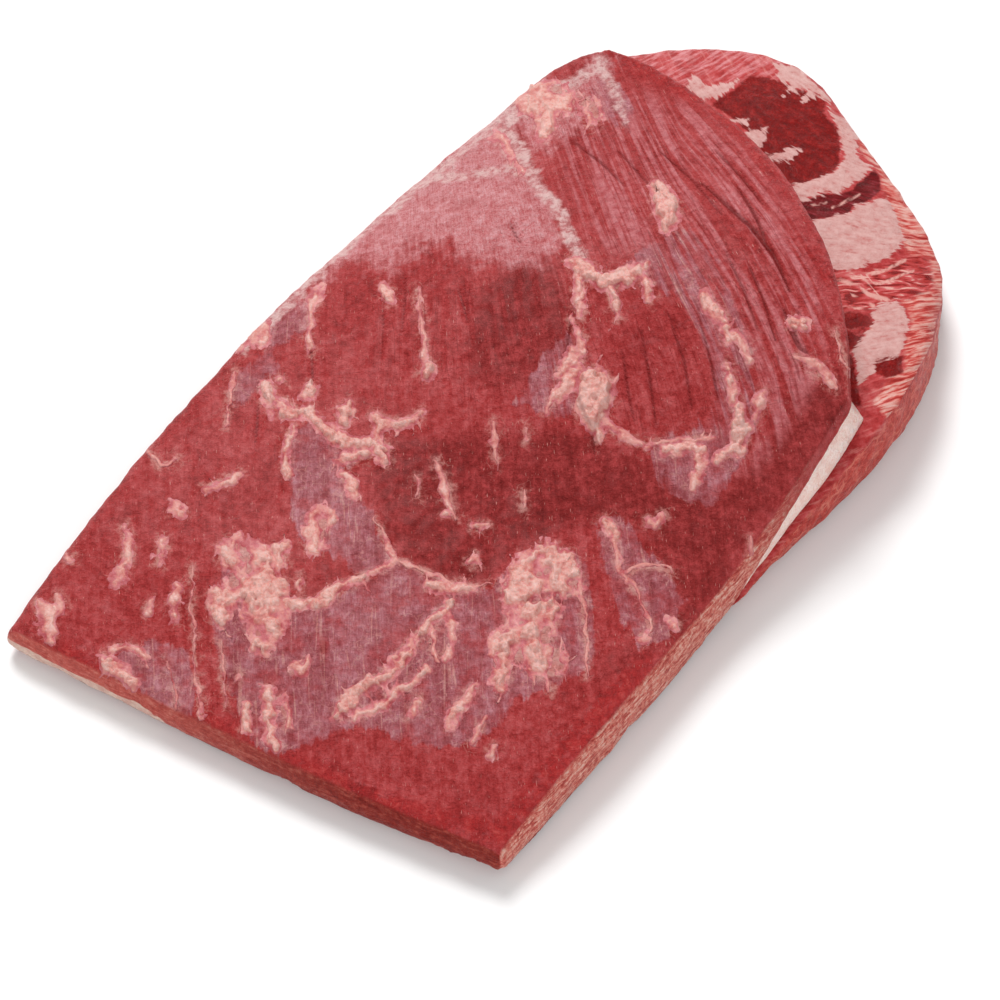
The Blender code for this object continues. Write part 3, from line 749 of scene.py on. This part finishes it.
def silverskin_over(f, n, red):
    """Thin greyish pink skin over the red, combed open along the furrows: the colour, and the skin's share."""
    edge = f.blend_shares((f.kept("silverskin"), 1.0), (n.ragged, 9.0), (n.combed, 14.0))
    skin = f.times(f.step(edge, -1.0, 1.2), f.step(n.cloudy, 0.34, 0.56, 0.35, 0.97))
    combing = f.times(f.kept("furrowed"), f.step(n.streaks, 0.56, 0.44, 0.0, 0.75))
    skin = f.times(skin, f.minus(1.0, combing))
    tone = f.blend_shares((n.fine, 0.30), (n.mottle, 0.45), (n.bands, 0.25))
    skin_colour = f.ramp(tone, (0.38, (0.280, 0.048, 0.056)), (0.50, SILVERSKIN), (0.62, SILVERSKIN_PALE))
    return f.mix(skin, red, skin_colour), skin


def pale_and_sheen_zones_over(f, n, colour):
    """The pale pink zone at the upper left, pale partly in its own colour and partly as painted sheen, and the ribbons
    of white fat along the rim.
    """
    # Painted sheen as well as pale colour: the upper left of the top is lightened towards pale pink.
    edge = f.blend_shares((f.kept("pale"), 1.0), (n.ragged, 22.0), (n.combed, 28.0), (n.fingers, 34.0))
    pale = f.times(f.step(edge, -6.0, 9.0), f.step(n.cloudy, 0.30, 0.58, 0.70, 1.0))
    tone = f.blend_shares((n.specks, 0.28), (n.mottle, 0.42), (n.fine, 0.30))
    pale_and_sheen_colour = f.ramp(tone, (0.39, (0.480, 0.075, 0.080)), (0.46, (0.600, 0.175, 0.185)),
                         (0.54, (0.680, 0.285, 0.300)), (0.64, (0.750, 0.410, 0.430)))
    colour = f.mix(pale, colour, pale_and_sheen_colour)
    edge = f.blend_shares((f.kept("ribbon"), 1.0), (n.ragged, 9.0), (n.fingers, 10.0))
    ribbon = f.times(f.step(edge, -2.2, 1.6), f.step(n.mottle, 0.36, 0.55, 0.45, 0.95))
    return f.mix(ribbon, colour, f.ramp(n.mottle, (0.38, (0.660, 0.290, 0.290)), (0.60, (0.790, 0.520, 0.500))))


def fat_threads_over(f, n, colour, skin):
    """Nets, threads and flecks of fat, and the film round the loose lumps."""
    net = f.cells(f.warped(f.place, 0.0050, 0.0075), (0.0068, 0.0085, 0.0085))
    net_zone = f.most(f.step(f.kept("web"), -8.0, 0.0), f.times(skin, 0.8))
    net_share = f.times(f.times(f.step(net, 0.055, 0.010), net_zone), f.step(n.cloudy, 0.46, 0.60, 0.0, 0.50))
    threads = f.noise(n.grain, (7.0, 140.0, 1.0), detail=1.0, ridged=True)
    thread_zone = f.times(skin, f.step(n.coarse, 0.47, 0.58, 0.0, 0.65))
    thread_share = f.times(f.step(threads, 0.955, 0.992), thread_zone)
    flecks = f.noise(n.grain, (0.62, 4.6, 1.0), detail=1.0)
    fleck_share = f.times(f.step(flecks, 0.680, 0.755), f.step(n.cloudy, 0.40, 0.58, 0.1, 0.85))
    veil_edge = f.blend_shares((f.kept("web"), 1.0), (n.ragged, 16.0))
    veil_share = f.times(f.step(veil_edge, -4.0, 1.5), f.step(n.mottle, 0.40, 0.60, 0.10, 0.62))
    web_edge = f.blend_shares((f.kept("web"), 1.0), (n.ragged, 7.0))
    web_share = f.step(web_edge, -0.9, 0.4, 0.0, 0.75)
    fat_share = f.most(net_share, thread_share, fleck_share, f.most(veil_share, web_share))
    return f.mix(fat_share, colour, f.ramp(n.mottle, (0.36, FAT_PINK), (0.62, FAT_CREAM)))


def furrows_over(f, n, colour):
    """Splits darkened with painted shade, and fine dark lines along the grain."""
    # Painted shade: the splits carved into the top are darkened almost to black.
    crack = f.step(f.kept("crack"), -0.6, 0.7)
    colour = f.mix(f.times(crack, 0.72), colour, (0.140, 0.003, 0.003))
    lines = f.noise(n.grain, (6.5, 90.0, 1.0), detail=2.0, roughness=0.4, ridged=True)
    long_lines = f.times(f.step(lines, 0.970, 0.996), f.step(n.coarse, 0.42, 0.56))
    short_lines = f.step(f.noise(n.grain, (1.6, 18.0, 1.0), detail=1.0), 0.33, 0.26)
    share = f.times(f.most(long_lines, short_lines), f.kept("furrowed"))
    return f.mix(f.times(share, 0.50), colour, (0.200, 0.006, 0.006))


def cut_faces_over(f, n, colour):
    """The cut side, the cut front, and the fat cap's edge along the foot of the front."""
    layers = f.noise(f.place, (0.0060, 0.0110, 0.0016), detail=4.0, roughness=0.65, distortion=0.9)
    tone = f.blend_shares((layers, 0.55), (f.noise(f.place, 0.0026, detail=5.0, roughness=0.72), 0.45))
    side_colour = f.ramp(tone, (0.39, (0.400, 0.035, 0.028)), (0.47, (0.640, 0.125, 0.095)),
                         (0.53, (0.780, 0.290, 0.225)), (0.61, (0.900, 0.560, 0.470)))
    colour = f.mix(f.kept("cut_side"), colour, side_colour)
    layers = f.noise(f.place, (0.0090, 0.0060, 0.0016), detail=4.0, roughness=0.7, distortion=0.9)
    tone = f.blend_shares((layers, 0.55), (f.noise(f.place, 0.0028, detail=5.0, roughness=0.72), 0.45))
    near = f.ramp(tone, (0.34, (0.160, 0.006, 0.004)), (0.50, (0.290, 0.022, 0.015)), (0.66, (0.500, 0.095, 0.065)))
    far = f.ramp(tone, (0.34, (0.420, 0.045, 0.036)), (0.50, (0.620, 0.115, 0.092)), (0.64, (0.760, 0.270, 0.210)))
    colour = f.mix(f.kept("cut_front"), colour, f.mix(f.step(f.along("X"), -0.090, 0.075), far, near))
    cap = f.ramp(n.mottle, (0.36, (0.74, 0.400, 0.330)), (0.58, (0.86, 0.620, 0.520)))
    return f.mix(f.inside("cap_edge", n.ragged, 1.5, -0.3, 0.3), colour, cap)


def lean_finish():
    """Moist lean beef: fibres, silverskin, webs of fat, and the cut faces."""
    f = Finish("moist_lean_beef")
    n = lean_noises(f)
    colour, skin = silverskin_over(f, n, lean_red(f, n))
    colour = fat_threads_over(f, n, pale_and_sheen_zones_over(f, n, colour), skin)
    colour = cut_faces_over(f, n, furrows_over(f, n, colour))
    wrinkles = f.noise(n.grain, (4.5, 1.7, 1.0), detail=3.0, roughness=0.65, distortion=1.2)
    pebbles = f.noise(f.place, 0.0017, detail=3.0, roughness=0.75)
    height = f.blend_shares((n.fine, 0.32), (n.mottle, 0.9), (pebbles, 0.75), (wrinkles, 0.40))
    return f.done(colour, f.step(n.mottle, 0.36, 0.62, 0.38, 0.58), f.relief(height, 0.0024))


def fat_finish(name, low, middle, high, root=None):
    """Firm, slightly waxy fat with faint creases, which are darkened to orange with painted shade. Root names the kept
    height over the meat, if there is one.
    """
    f = Finish(name)
    body = f.noise(f.place, 0.0060, detail=4.0, roughness=0.6)
    crease = f.noise(f.place, 0.0030, detail=2.0, distortion=0.8, ridged=True)
    tone = f.blend_shares((body, 0.75), (f.noise(f.place, 0.0015, detail=2.0), 0.25))
    colour = f.ramp(tone, (0.34, low), (0.50, middle), (0.66, high))
    # Painted shade: the creases, which the bump also sinks, are darkened towards orange.
    colour = f.mix(f.step(crease, 0.94, 1.0, 0.0, 0.35), colour, FAT_ORANGE_CREASE_SHADE)
    if root:
        near = f.plus(f.kept(root), f.minus(body, 0.5))
        low_red = f.ramp(body, (0.38, (0.560, 0.160, 0.140)), (0.60, (0.640, 0.270, 0.240)))
        colour = f.mix(f.step(near, 1.10, 0.45), colour, low_red)
        thin = f.ramp(body, (0.36, (0.430, 0.070, 0.082)), (0.52, (0.560, 0.160, 0.178)), (0.66, (0.690, 0.290, 0.290)))
        colour = f.mix(f.step(near, 0.50, 0.15), colour, thin)
    height = f.blend_shares((body, 0.8), (crease, -0.35), (f.noise(f.place, 0.0011, detail=3.0, roughness=0.7), 0.4))
    gloss = f.step(body, 0.35, 0.65, 0.34, 0.50)
    return f.done(colour, gloss, f.relief(height, 0.0013), wet=0.06, shine=0.28, soft=0.20)


def make_flat(node):
    """The flat muscle, with the regions of its top and its cut faces kept at its vertices."""
    piece = fine_copy(node, "flat_dressed", 2)
    mesh = piece.data
    places, normals = places_in(mesh), normals_in(mesh)
    spots = pixels_of(places)
    grain = grain_places(spots)
    mm = places * 1000
    top = blend(normals[:, 2], 0.35, 0.75)
    over = blend(normals[:, 2], -0.05, 0.35)
    cut_side = blend(normals[:, 0] * 0.9 - normals[:, 1] * 0.2, 0.45, 0.80) * blend(-places[:, 1], -0.03, 0.06)
    cut_front = blend(-normals[:, 1], 0.55, 0.85)
    silverskin = in_outlines(spots, SILVERSKIN_FIELDS)
    # The pale zone's region, which the finish lightens with painted sheen as well as pale colour.
    pale = in_outlines(spots, PALE_AND_SHEEN_FIELDS)
    ribbon = np.where(over > 0.1, in_strokes(spots, RIBBONS), -REACH)
    dark = blend(in_outlines(spots, DARK_FIELDS), -6, 6)
    bright = blend(in_strokes(spots, BRIGHT_EDGES), -5, 3)
    crack = in_strokes(spots, DEEP_FURROWS)
    furrowed = blend(in_outline(spots, FURROW_FIELD), -6, 8)
    web = in_strokes(spots, [ridge[0] for ridge in FAT_RIDGES])
    web = np.maximum(web, in_outlines(spots, [clump[0] for clump in FAT_CLUMPS]))
    streaky = blend(in_outlines(spots, STREAKY_FIELDS), -8, 6)
    cap_edge = np.minimum(11.5 - mm[:, 2], (-50 - mm[:, 0]) / 9) + 1.2 * lumpy(mm, 9.0, 11)
    cap_edge = np.where(normals[:, 1] < -0.5, cap_edge, -REACH)
    lift = 0.55 * lumpy(grain / np.array([3.4, 34.0, 1.0]), 1.0, 1) * furrowed
    lift += 0.22 * lumpy(grain / np.array([2.3, 20.0, 1.0]), 1.0, 2)
    lift += 0.45 * lumpy(mm, 11.0, 3) + 0.25 * lumpy(mm, 4.5, 4) + 0.12 * lumpy(mm, 2.4, 5)
    lift -= 1.5 * blend(crack, -1.2, 0.8) * top
    lift += 0.3 * blend(web, -3.0, 0.5) * top
    lift += 0.55 * blend(bright, 0.2, 0.8) * np.abs(lumpy(mm, 6.5, 12)) * top
    for bead in BEADS:
        gap = np.hypot(*(spots - np.array(bead)).T) / PIXELS_PER_MM
        lift += 1.3 * np.exp(-(gap / 2.0) ** 2) * blend(normals[:, 2], 0.1, 0.5)
    put_places(mesh, pushed_out(places, normals, lift))
    for name, values in (("silverskin", silverskin), ("crack", crack), ("web", web)):
        keep_value(mesh, name, np.where(top > 0.2, values, -REACH))
    for name, values in (("pale", pale), ("ribbon", ribbon), ("dark", dark * top), ("bright", bright),
                         ("furrowed", furrowed * over), ("streaky", streaky * over), ("cap_edge", cap_edge),
                         ("cut_side", cut_side), ("cut_front", cut_front)):
        keep_value(mesh, name, values)
    keep_vector(mesh, "grain", grain)
    mesh.materials.clear()
    mesh.materials.append(lean_finish())
    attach(piece, "root")
    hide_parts("flat_muscle")
    return piece


def surface_of(piece):
    """A piece's surface, to cast sight lines at."""
    mesh = piece.data
    return BVHTree.FromPolygons([v.co for v in mesh.vertices], [tuple(p.vertices) for p in mesh.polygons])


def frays(pick):
    """Thin strands from the strokes and clumps, most of them along the grain, as strokes of their own."""
    roots = []
    for stroke, height in FAT_RIDGES:
        roots += [(start, end, height) for start, end in zip(stroke[:-1], stroke[1:]) if height > 0.65]
    for outline, height in FAT_CLUMPS:
        ring = [(x, y, 4) for x, y in outline]
        roots += [(start, end, height) for start, end in zip(ring, ring[1:] + ring[:1])]
    made = []
    for start, end, height in roots:
        count = int(math.hypot(end[0] - start[0], end[1] - start[1]) / 8 + pick.random())
        for _ in range(count):
            share, way = pick.random(), pick.choice((-1, 1))
            x, y = start[0] + (end[0] - start[0]) * share, start[1] + (end[1] - start[1]) * share
            length = pick.uniform(7, 20) * (1.0 if height > 1.2 else 0.7)
            lean, bend, width = pick.uniform(-0.75, 0.75), pick.uniform(-0.35, 0.35), pick.uniform(1.2, 3.2)
            middle = (x + way * length * 0.5 * math.sin(lean), y + way * length * 0.5 * math.cos(lean), width * 0.7)
            tip = (middle[0] + way * length * 0.5 * math.sin(lean + bend),
                   middle[1] + way * length * 0.5 * math.cos(lean + bend), 0.4)
            made.append((((x, y, width), middle, tip), 0.35))
    return made


def stroke_shape(spots, ragged, stroke, height, veil, body):
    """Adds one stroke of fat to the thin veil round it, which is 1 where the body starts, and to the body in mm."""
    line = np.array(stroke, float)
    firm = 1.0 if 0.65 < height < 2.9 else 0.4
    for start, end in zip(line[:-1], line[1:]):
        close = near_line(spots, np.stack([start, end]), 6.0)
        run = end[:2] - start[:2]
        off = spots[close] - start[:2]
        share = np.clip(off @ run / max(run @ run, 1e-6), 0, 1)
        gap = np.sqrt(((off - share[:, None] * run) ** 2).sum(axis=1)) / PIXELS_PER_MM
        half = (start[2] + (end[2] - start[2]) * share) / 2 / PIXELS_PER_MM
        inside = half - gap + ragged[close] * np.clip(half / 1.4, 0.20, 1.2) * firm
        skirt = np.clip(0.25 + 0.75 * half, 0.3, 1.7) * (0.45 if height <= 0.65 else 1.0)
        veil[close] = np.maximum(veil[close], (inside + skirt) / skirt)
        body[close] = np.maximum(body[close], height * blend(inside, -0.2, 1.5))


def fat_rise(spots):
    """How high loose fat stands over the flat at each spot, in mm: negative where there is none."""
    flat = np.column_stack([spots, np.zeros(len(spots))])
    sway = np.stack([lumpy(flat, 18, 20), lumpy(flat, 18, 21)], axis=1) * 3.4
    sway += np.stack([lumpy(flat, 8, 22), lumpy(flat, 8, 23)], axis=1) * 2.4
    sway += np.stack([lumpy(flat, 4, 36), lumpy(flat, 4, 37)], axis=1) * 1.2
    moved = spots + sway
    ragged = 1.1 * lumpy(flat, 12, 24) + 1.0 * lumpy(flat, 6, 25) + 0.7 * lumpy(flat, 3, 38)
    veil, body = np.full(len(spots), -9.0), np.zeros(len(spots))
    for stroke, height in FAT_RIDGES + tuple(frays(random.Random(FRAY_SEED))):
        stroke_shape(moved, ragged, stroke, height, veil, body)
    holes = lumpy(flat, 13, 26) + 0.7 * lumpy(flat, 6.5, 27)
    for outline, height in FAT_CLUMPS:
        firm = 1.0 if height < 4.0 else 0.25
        inside = in_outline(moved, outline, 8.0) + 1.8 * ragged * firm
        veil = np.maximum(veil, np.minimum((inside + 1.7) / 1.7, 2.2 + 3.5 * holes * firm))
        inside = np.minimum(inside, 0.9 + 3.0 * holes + 4.0 * (1 - firm))
        body = np.maximum(body, height * blend(inside, -0.2, 1.2 + height / 3))
    lumps = 0.75 + 0.55 * lumpy(flat, 9, 28) + 0.50 * lumpy(flat, 4.5, 29) + 0.30 * lumpy(flat, 2.6, 39)
    folds = blend(1 - np.abs(lumpy(flat, 10, 30) + 0.4 * lumpy(flat, 5, 31)), 0.80, 1.0)
    calm = 0.65 * blend(body, 1.7, 3.2)
    lumps, folds = lumps + (0.95 - lumps) * calm, folds * (1 - calm)
    veil += 0.30 * lumpy(flat, 5, 32) + 0.25 * lumpy(flat, 2.6, 33)
    thin = np.where(veil > 0, 0.32 * np.clip(veil, 0, 1), 0.6 * veil)
    return thin + body * np.clip(lumps, 0.12, 1.7) * (1 - 0.5 * folds)


def fat_grid(first, last):
    """A flat grid in pixels, in square tiles, over the places between two columns that hold loose fat."""
    across, down = np.meshgrid(np.arange(first, last, GRID_STEP), np.arange(*LOOSE_FAT_ROWS, GRID_STEP))
    tried = np.column_stack([across.ravel(), down.ravel()]).astype(float)
    held = tried[fat_rise(tried) > TILE_DEPTH]
    top = LOOSE_FAT_ROWS[0]
    wanted = {(first + int((x - first) // GRID_TILE) * GRID_TILE, top + int((y - top) // GRID_TILE) * GRID_TILE)
              for x, y in held}
    whole = bmesh.new()
    square = bpy.data.meshes.new("square")
    for left, low in sorted(wanted):
        work = bmesh.new()
        middle = Matrix.Translation((left + GRID_TILE / 2, low + GRID_TILE / 2, 0))
        bmesh.ops.create_grid(work, x_segments=GRID_TILE, y_segments=GRID_TILE, size=GRID_TILE / 2, matrix=middle)
        work.to_mesh(square)
        work.free()
        whole.from_mesh(square)
    bpy.data.meshes.remove(square)
    bmesh.ops.remove_doubles(whole, verts=whole.verts, dist=0.05)
    return whole


def make_loose_fat(surface, name, first, last):
    """Lumps, ridges and webs of fat on the flat's top, between two columns of the photograph."""
    whole = fat_grid(first, last)
    rise = fat_rise(np.array([vert.co.xy for vert in whole.verts], float))
    start = camera_place()
    gone = []
    heights = whole.verts.layers.float.new("above_meat")
    for vert, height in zip(whole.verts, rise):
        place = None
        if height >= POINT_DEPTH:
            place, normal, _, _ = surface.ray_cast(start, sight_line(*vert.co.xy))
        if place is None:
            gone.append(vert)
            continue
        vert.co = place + (normal + Vector((0, 0, 1.5))).normalized() * (height / 1000)
        vert.co.z = min(vert.co.z, cad_bounds[1][2])
        vert[heights] = height
    bmesh.ops.delete(whole, geom=gone, context="VERTS")
    bmesh.ops.delete(whole, geom=[vert for vert in whole.verts if not vert.link_faces], context="VERTS")
    bmesh.ops.smooth_vert(whole, verts=whole.verts, factor=0.35, use_axis_x=True, use_axis_y=True, use_axis_z=True)
    # The grid's faces look down until they are turned over, and the sheet then thickens into the meat.
    bmesh.ops.reverse_faces(whole, faces=whole.faces)
    bmesh.ops.solidify(whole, geom=whole.faces[:], thickness=FAT_THICKNESS)
    bmesh.ops.recalc_face_normals(whole, faces=whole.faces)
    mesh = bpy.data.meshes.new(name)
    whole.to_mesh(mesh)
    whole.free()
    mesh.shade_smooth()
    piece = add_object(name, mesh)
    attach(piece, "root")
    return piece


def marbling_places(spots):
    """Coordinates in mm along and across the streaks of the point muscle, which fan out towards its rim."""
    slope = 0.20 - 0.35 * np.clip((spots[:, 1] - 210) / 120, -1.5, 1.6)
    across = spots[:, 1] - slope * (spots[:, 0] - 900)
    return np.stack([spots[:, 0] / PIXELS_PER_MM, across / PIXELS_PER_MM, np.zeros(len(spots))], axis=1)


def point_finish():
    """Marbled beef: dark lean, bands of white fat, and a rim of fine red and white streaks."""
    f = Finish("marbled_beef")
    marble = f.kept("marble", "Vector")
    mottle = f.noise(f.place, 0.0042, detail=4.0, roughness=0.62)
    specks = f.noise(f.place, 0.0012, detail=2.0, roughness=0.7)
    ragged = f.swing(0.0050, detail=5.0, roughness=0.65)
    streaks = f.noise(marble, (9.0, 1.5, 1.0), detail=3.0, roughness=0.55, distortion=0.5)
    wide = f.noise(marble, (14.0, 3.4, 1.0), detail=2.0, distortion=0.7)
    tone = f.blend_shares((mottle, 0.45), (specks, 0.20), (wide, 0.35))
    lean = f.ramp(tone, (0.33, DARK_RED), (0.48, LEAN_RED), (0.64, LIGHT_RED))
    base_streaks = f.step(f.blend_shares((streaks, 0.6), (wide, 0.4)), 0.53, 0.66, 0.0, 0.55)
    colour = f.mix(base_streaks, lean, FAT_PINK)

    slanted = f.noise(f.kept("slant", "Vector"), (11.0, 1.7, 1.0), detail=3.0)
    top = f.times(f.step(f.kept("top_band"), -4.0, 4.0), f.step(slanted, 0.42, 0.64, 0.0, 0.75))
    colour = f.mix(top, colour, f.ramp(mottle, (0.35, (0.56, 0.150, 0.150)), (0.65, PALE_PINK)))
    rim_tone = f.blend_shares((streaks, 0.65), (wide, 0.35))
    rim_colour = f.ramp(rim_tone, (0.36, (0.30, 0.018, 0.016)), (0.455, (0.50, 0.055, 0.045)),
                        (0.50, (0.60, 0.165, 0.140)), (0.565, (0.67, 0.320, 0.275)), (0.68, (0.71, 0.430, 0.390)))
    colour = f.mix(f.inside("rim", ragged, 6.0, -2.0, 1.2), colour, rim_colour)
    stripe_tone = f.noise(marble, (12.0, 2.3, 1.0), detail=2.0, distortion=1.0)
    stripe_colour = f.ramp(stripe_tone, (0.38, (0.20, 0.010, 0.010)), (0.47, (0.42, 0.035, 0.032)),
                           (0.58, LIGHT_RED), (0.66, FAT_CREAM))
    colour = f.mix(f.step(f.kept("stripes"), -1.5, 1.5), colour, stripe_colour)

    dark_tone = f.blend_shares((mottle, 0.7), (specks, 0.3))
    dark_colour = f.ramp(dark_tone, (0.34, (0.110, 0.002, 0.002)), (0.52, (0.195, 0.0040, 0.0035)),
                         (0.68, (0.33, 0.016, 0.014)))
    colour = f.mix(f.inside("dark", ragged, 5.0, -0.8, 0.8), colour, dark_colour)
    purple_colour = f.ramp(streaks, (0.40, (0.090, 0.002, 0.003)), (0.58, (0.170, 0.006, 0.009)),
                           (0.72, (0.27, 0.032, 0.042)))
    colour = f.mix(f.inside("purple", ragged, 4.0, -0.7, 0.7), colour, purple_colour)
    fringe = f.plus(f.times(ragged, 3.5), f.times(f.minus(streaks, 0.5), 8.0))
    white = f.step(f.plus(f.kept("white"), fringe), -0.7, 0.6)
    fat_tone = f.blend_shares((mottle, 0.6), (streaks, 0.4))
    white_colour = f.ramp(fat_tone, (0.34, (0.50, 0.175, 0.160)), (0.46, (0.57, 0.290, 0.270)),
                          (0.62, (0.64, 0.380, 0.355)))
    colour = f.mix(f.times(white, f.step(fat_tone, 0.30, 0.42, 0.7, 1.0)), colour, white_colour)
    colour = f.mix(f.inside("threads", ragged, 1.6, -0.7, 0.3, 0.85), colour, FAT_CREAM)

    web = f.cells(f.warped(f.place, 0.0070, 0.0090), (0.0085, 0.0120, 0.0062))
    side_tone = f.blend_shares((mottle, 0.6), (specks, 0.4))
    side_lean = f.ramp(side_tone, (0.33, (0.24, 0.012, 0.010)), (0.50, (0.46, 0.045, 0.036)),
                       (0.66, (0.62, 0.130, 0.100)))
    patches = f.step(f.noise(f.place, 0.012, detail=3.0), 0.42, 0.60, 0.05, 0.75)
    side_colour = f.mix(f.times(f.step(web, 0.11, 0.015), patches), side_lean, CUT_PINK)
    colour = f.mix(f.kept("side"), colour, side_colour)
    height = f.blend_shares((mottle, 0.8), (specks, 0.5), (streaks, 0.5))
    gloss = f.step(f.noise(f.place, 0.008, detail=3.0), 0.35, 0.65, 0.32, 0.52)
    return f.done(colour, gloss, f.relief(height, 0.0009), shine=0.09)


def make_point(node):
    """The point muscle: marbled on its crescent, webbed with pale seams on its side."""
    piece = fine_copy(node, "point_dressed", 3)
    mesh = piece.data
    places, normals = places_in(mesh), normals_in(mesh)
    spots = pixels_of(places)
    mm = places * 1000
    marble = marbling_places(spots)
    top = blend(normals[:, 2], 0.30, 0.65)
    white, dark = in_outlines(spots, CRESCENT_FAT), in_outlines(spots, CRESCENT_DARK)
    purple, rim = in_outlines(spots, CRESCENT_PURPLE), in_outlines(spots, CRESCENT_RIM)
    stripes, threads = in_outlines(spots, CRESCENT_STRIPES), in_strokes(spots, CRESCENT_THREADS)
    streaky = np.maximum(blend(rim, -2, 2), blend(stripes, -2, 2))
    lift = 0.50 * lumpy(mm, 10.0, 40) + 0.28 * lumpy(mm, 4.2, 41)
    lift += 0.65 * lumpy(marble / np.array([11.0, 2.6, 1.0]), 1.0, 42) * streaky * top
    lift += 0.30 * lumpy(marble / np.array([9.0, 2.0, 1.0]), 1.0, 43)
    lift += (0.5 * blend(white, -1.5, 2.0) - 0.9 * blend(dark, -1.0, 3.0) - 0.5 * blend(purple, -1.0, 2.0)) * top
    moved = pushed_out(places, normals, lift)
    moved[:, 2] = np.maximum(moved[:, 2], places[:, 2].min())
    put_places(mesh, moved)
    slant = np.stack([(spots[:, 0] * 0.89 - spots[:, 1] * 0.45) / PIXELS_PER_MM,
                      (spots[:, 0] * 0.45 + spots[:, 1] * 0.89) / PIXELS_PER_MM, np.zeros(len(spots))], axis=1)
    for name, values in (("white", white), ("dark", dark), ("purple", purple), ("rim", rim), ("stripes", stripes),
                         ("threads", threads), ("top_band", in_outlines(spots, CRESCENT_TOP))):
        keep_value(mesh, name, np.where(top > 0.1, values, -REACH))
    keep_value(mesh, "side", 1 - blend(normals[:, 2] + 0.1 * lumpy(mm, 12.0, 44), 0.10, 0.45))
    keep_vector(mesh, "marble", marble)
    keep_vector(mesh, "slant", slant)
    mesh.materials.clear()
    mesh.materials.append(point_finish())
    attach(piece, "root")
    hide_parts("point_muscle")
    return piece


def make_fat_layer(node, name, finish, slot, cuts, hidden_below, swell):
    """A layer of fat, swollen by that many mm and slightly lumpy."""
    piece = fine_copy(node, name, cuts, hidden_below)
    mesh = piece.data
    places, normals = places_in(mesh), normals_in(mesh)
    lift = swell + 0.25 * lumpy(places * 1000, 9.0, 9) + 0.12 * lumpy(places * 1000, 3.0, 10)
    moved = pushed_out(places, normals, lift)
    moved[:, 2] = np.maximum(moved[:, 2], 0.0)
    put_places(mesh, moved)
    mesh.materials.clear()
    mesh.materials.append(finish)
    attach(piece, "root")
    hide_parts(slot)
    return piece


def make_studio():
    """A pale floor, soft light from above and the left, and the camera."""
    floor_mesh = bpy.data.meshes.new("floor")
    work = bmesh.new()
    bmesh.ops.create_grid(work, x_segments=1, y_segments=1, size=4.0)
    work.to_mesh(floor_mesh)
    work.free()
    floor = add_object("floor", floor_mesh)
    paper = bpy.data.materials.new("pale_floor")
    paper.use_nodes = True
    shader = paper.node_tree.nodes["Principled BSDF"]
    shader.inputs["Base Color"].default_value = (0.93, 0.93, 0.93, 1)
    shader.inputs["Roughness"].default_value = 0.9
    shader.inputs["Specular IOR Level"].default_value = 0.1
    floor_mesh.materials.append(paper)

    world = bpy.data.worlds.new("soft_room")
    world.use_nodes = True
    sky = world.node_tree.nodes["Background"]
    sky.inputs["Color"].default_value = (1.0, 0.99, 0.98, 1)
    sky.inputs["Strength"].default_value = 0.50
    bpy.context.scene.world = world
    for name, place, size, power in (("soft_box_above", (-1.9, 1.5, 2.9), 1.4, 115.0),
                                     ("soft_box_front", (1.4, -1.6, 1.6), 1.6, 22.0)):
        lamp = bpy.data.lights.new(name, "AREA")
        lamp.shape = "SQUARE"
        lamp.size = size
        lamp.energy = power
        light = add_object(name, lamp)
        light.location = place
        light.rotation_euler = (-Vector(place)).to_track_quat("-Z", "Y").to_euler()

    right, up, back = view_axes()
    lens = bpy.data.cameras.new("camera")
    lens.lens = VIEW_LENS
    lens.sensor_width = SENSOR_WIDTH
    camera = add_object("camera", lens)
    turn = Matrix((right, up, back)).transposed().to_4x4()
    camera.matrix_world = Matrix.Translation(camera_place()) @ turn
    bpy.context.scene.camera = camera
    bpy.context.scene.view_settings.view_transform = "Standard"


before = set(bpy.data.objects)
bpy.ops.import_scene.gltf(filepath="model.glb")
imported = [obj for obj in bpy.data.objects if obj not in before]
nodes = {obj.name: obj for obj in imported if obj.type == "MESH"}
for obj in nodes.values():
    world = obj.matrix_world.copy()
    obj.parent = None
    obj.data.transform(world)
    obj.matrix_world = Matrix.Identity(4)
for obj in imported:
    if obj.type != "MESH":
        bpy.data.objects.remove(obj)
cad_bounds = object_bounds()
make_studio()
flat = make_flat(nodes["flat_muscle"])
flat_surface = surface_of(flat)
loose_finish = fat_finish("loose_fat_cream", FAT_PINK, FAT_CREAM, FAT_WHITE, root="above_meat")
for name, first, last in (("loose_fat_left", 0, 420), ("loose_fat_right", 420, 860)):
    make_loose_fat(flat_surface, name, first, last).data.materials.append(loose_finish)
make_point(nodes["point_muscle"])
make_fat_layer(nodes["seam_fat"], "seam_dressed", fat_finish("seam_cream", SEAM_PINK, SEAM_CREAM, SEAM_WHITE),
               "seam_fat", 2, -0.5, 0.35)
make_fat_layer(nodes["fat_cap"], "cap_dressed", fat_finish("cap_cream", FAT_PINK, FAT_CREAM, FAT_WHITE),
               "fat_cap", 1, -2.0, 0.2)
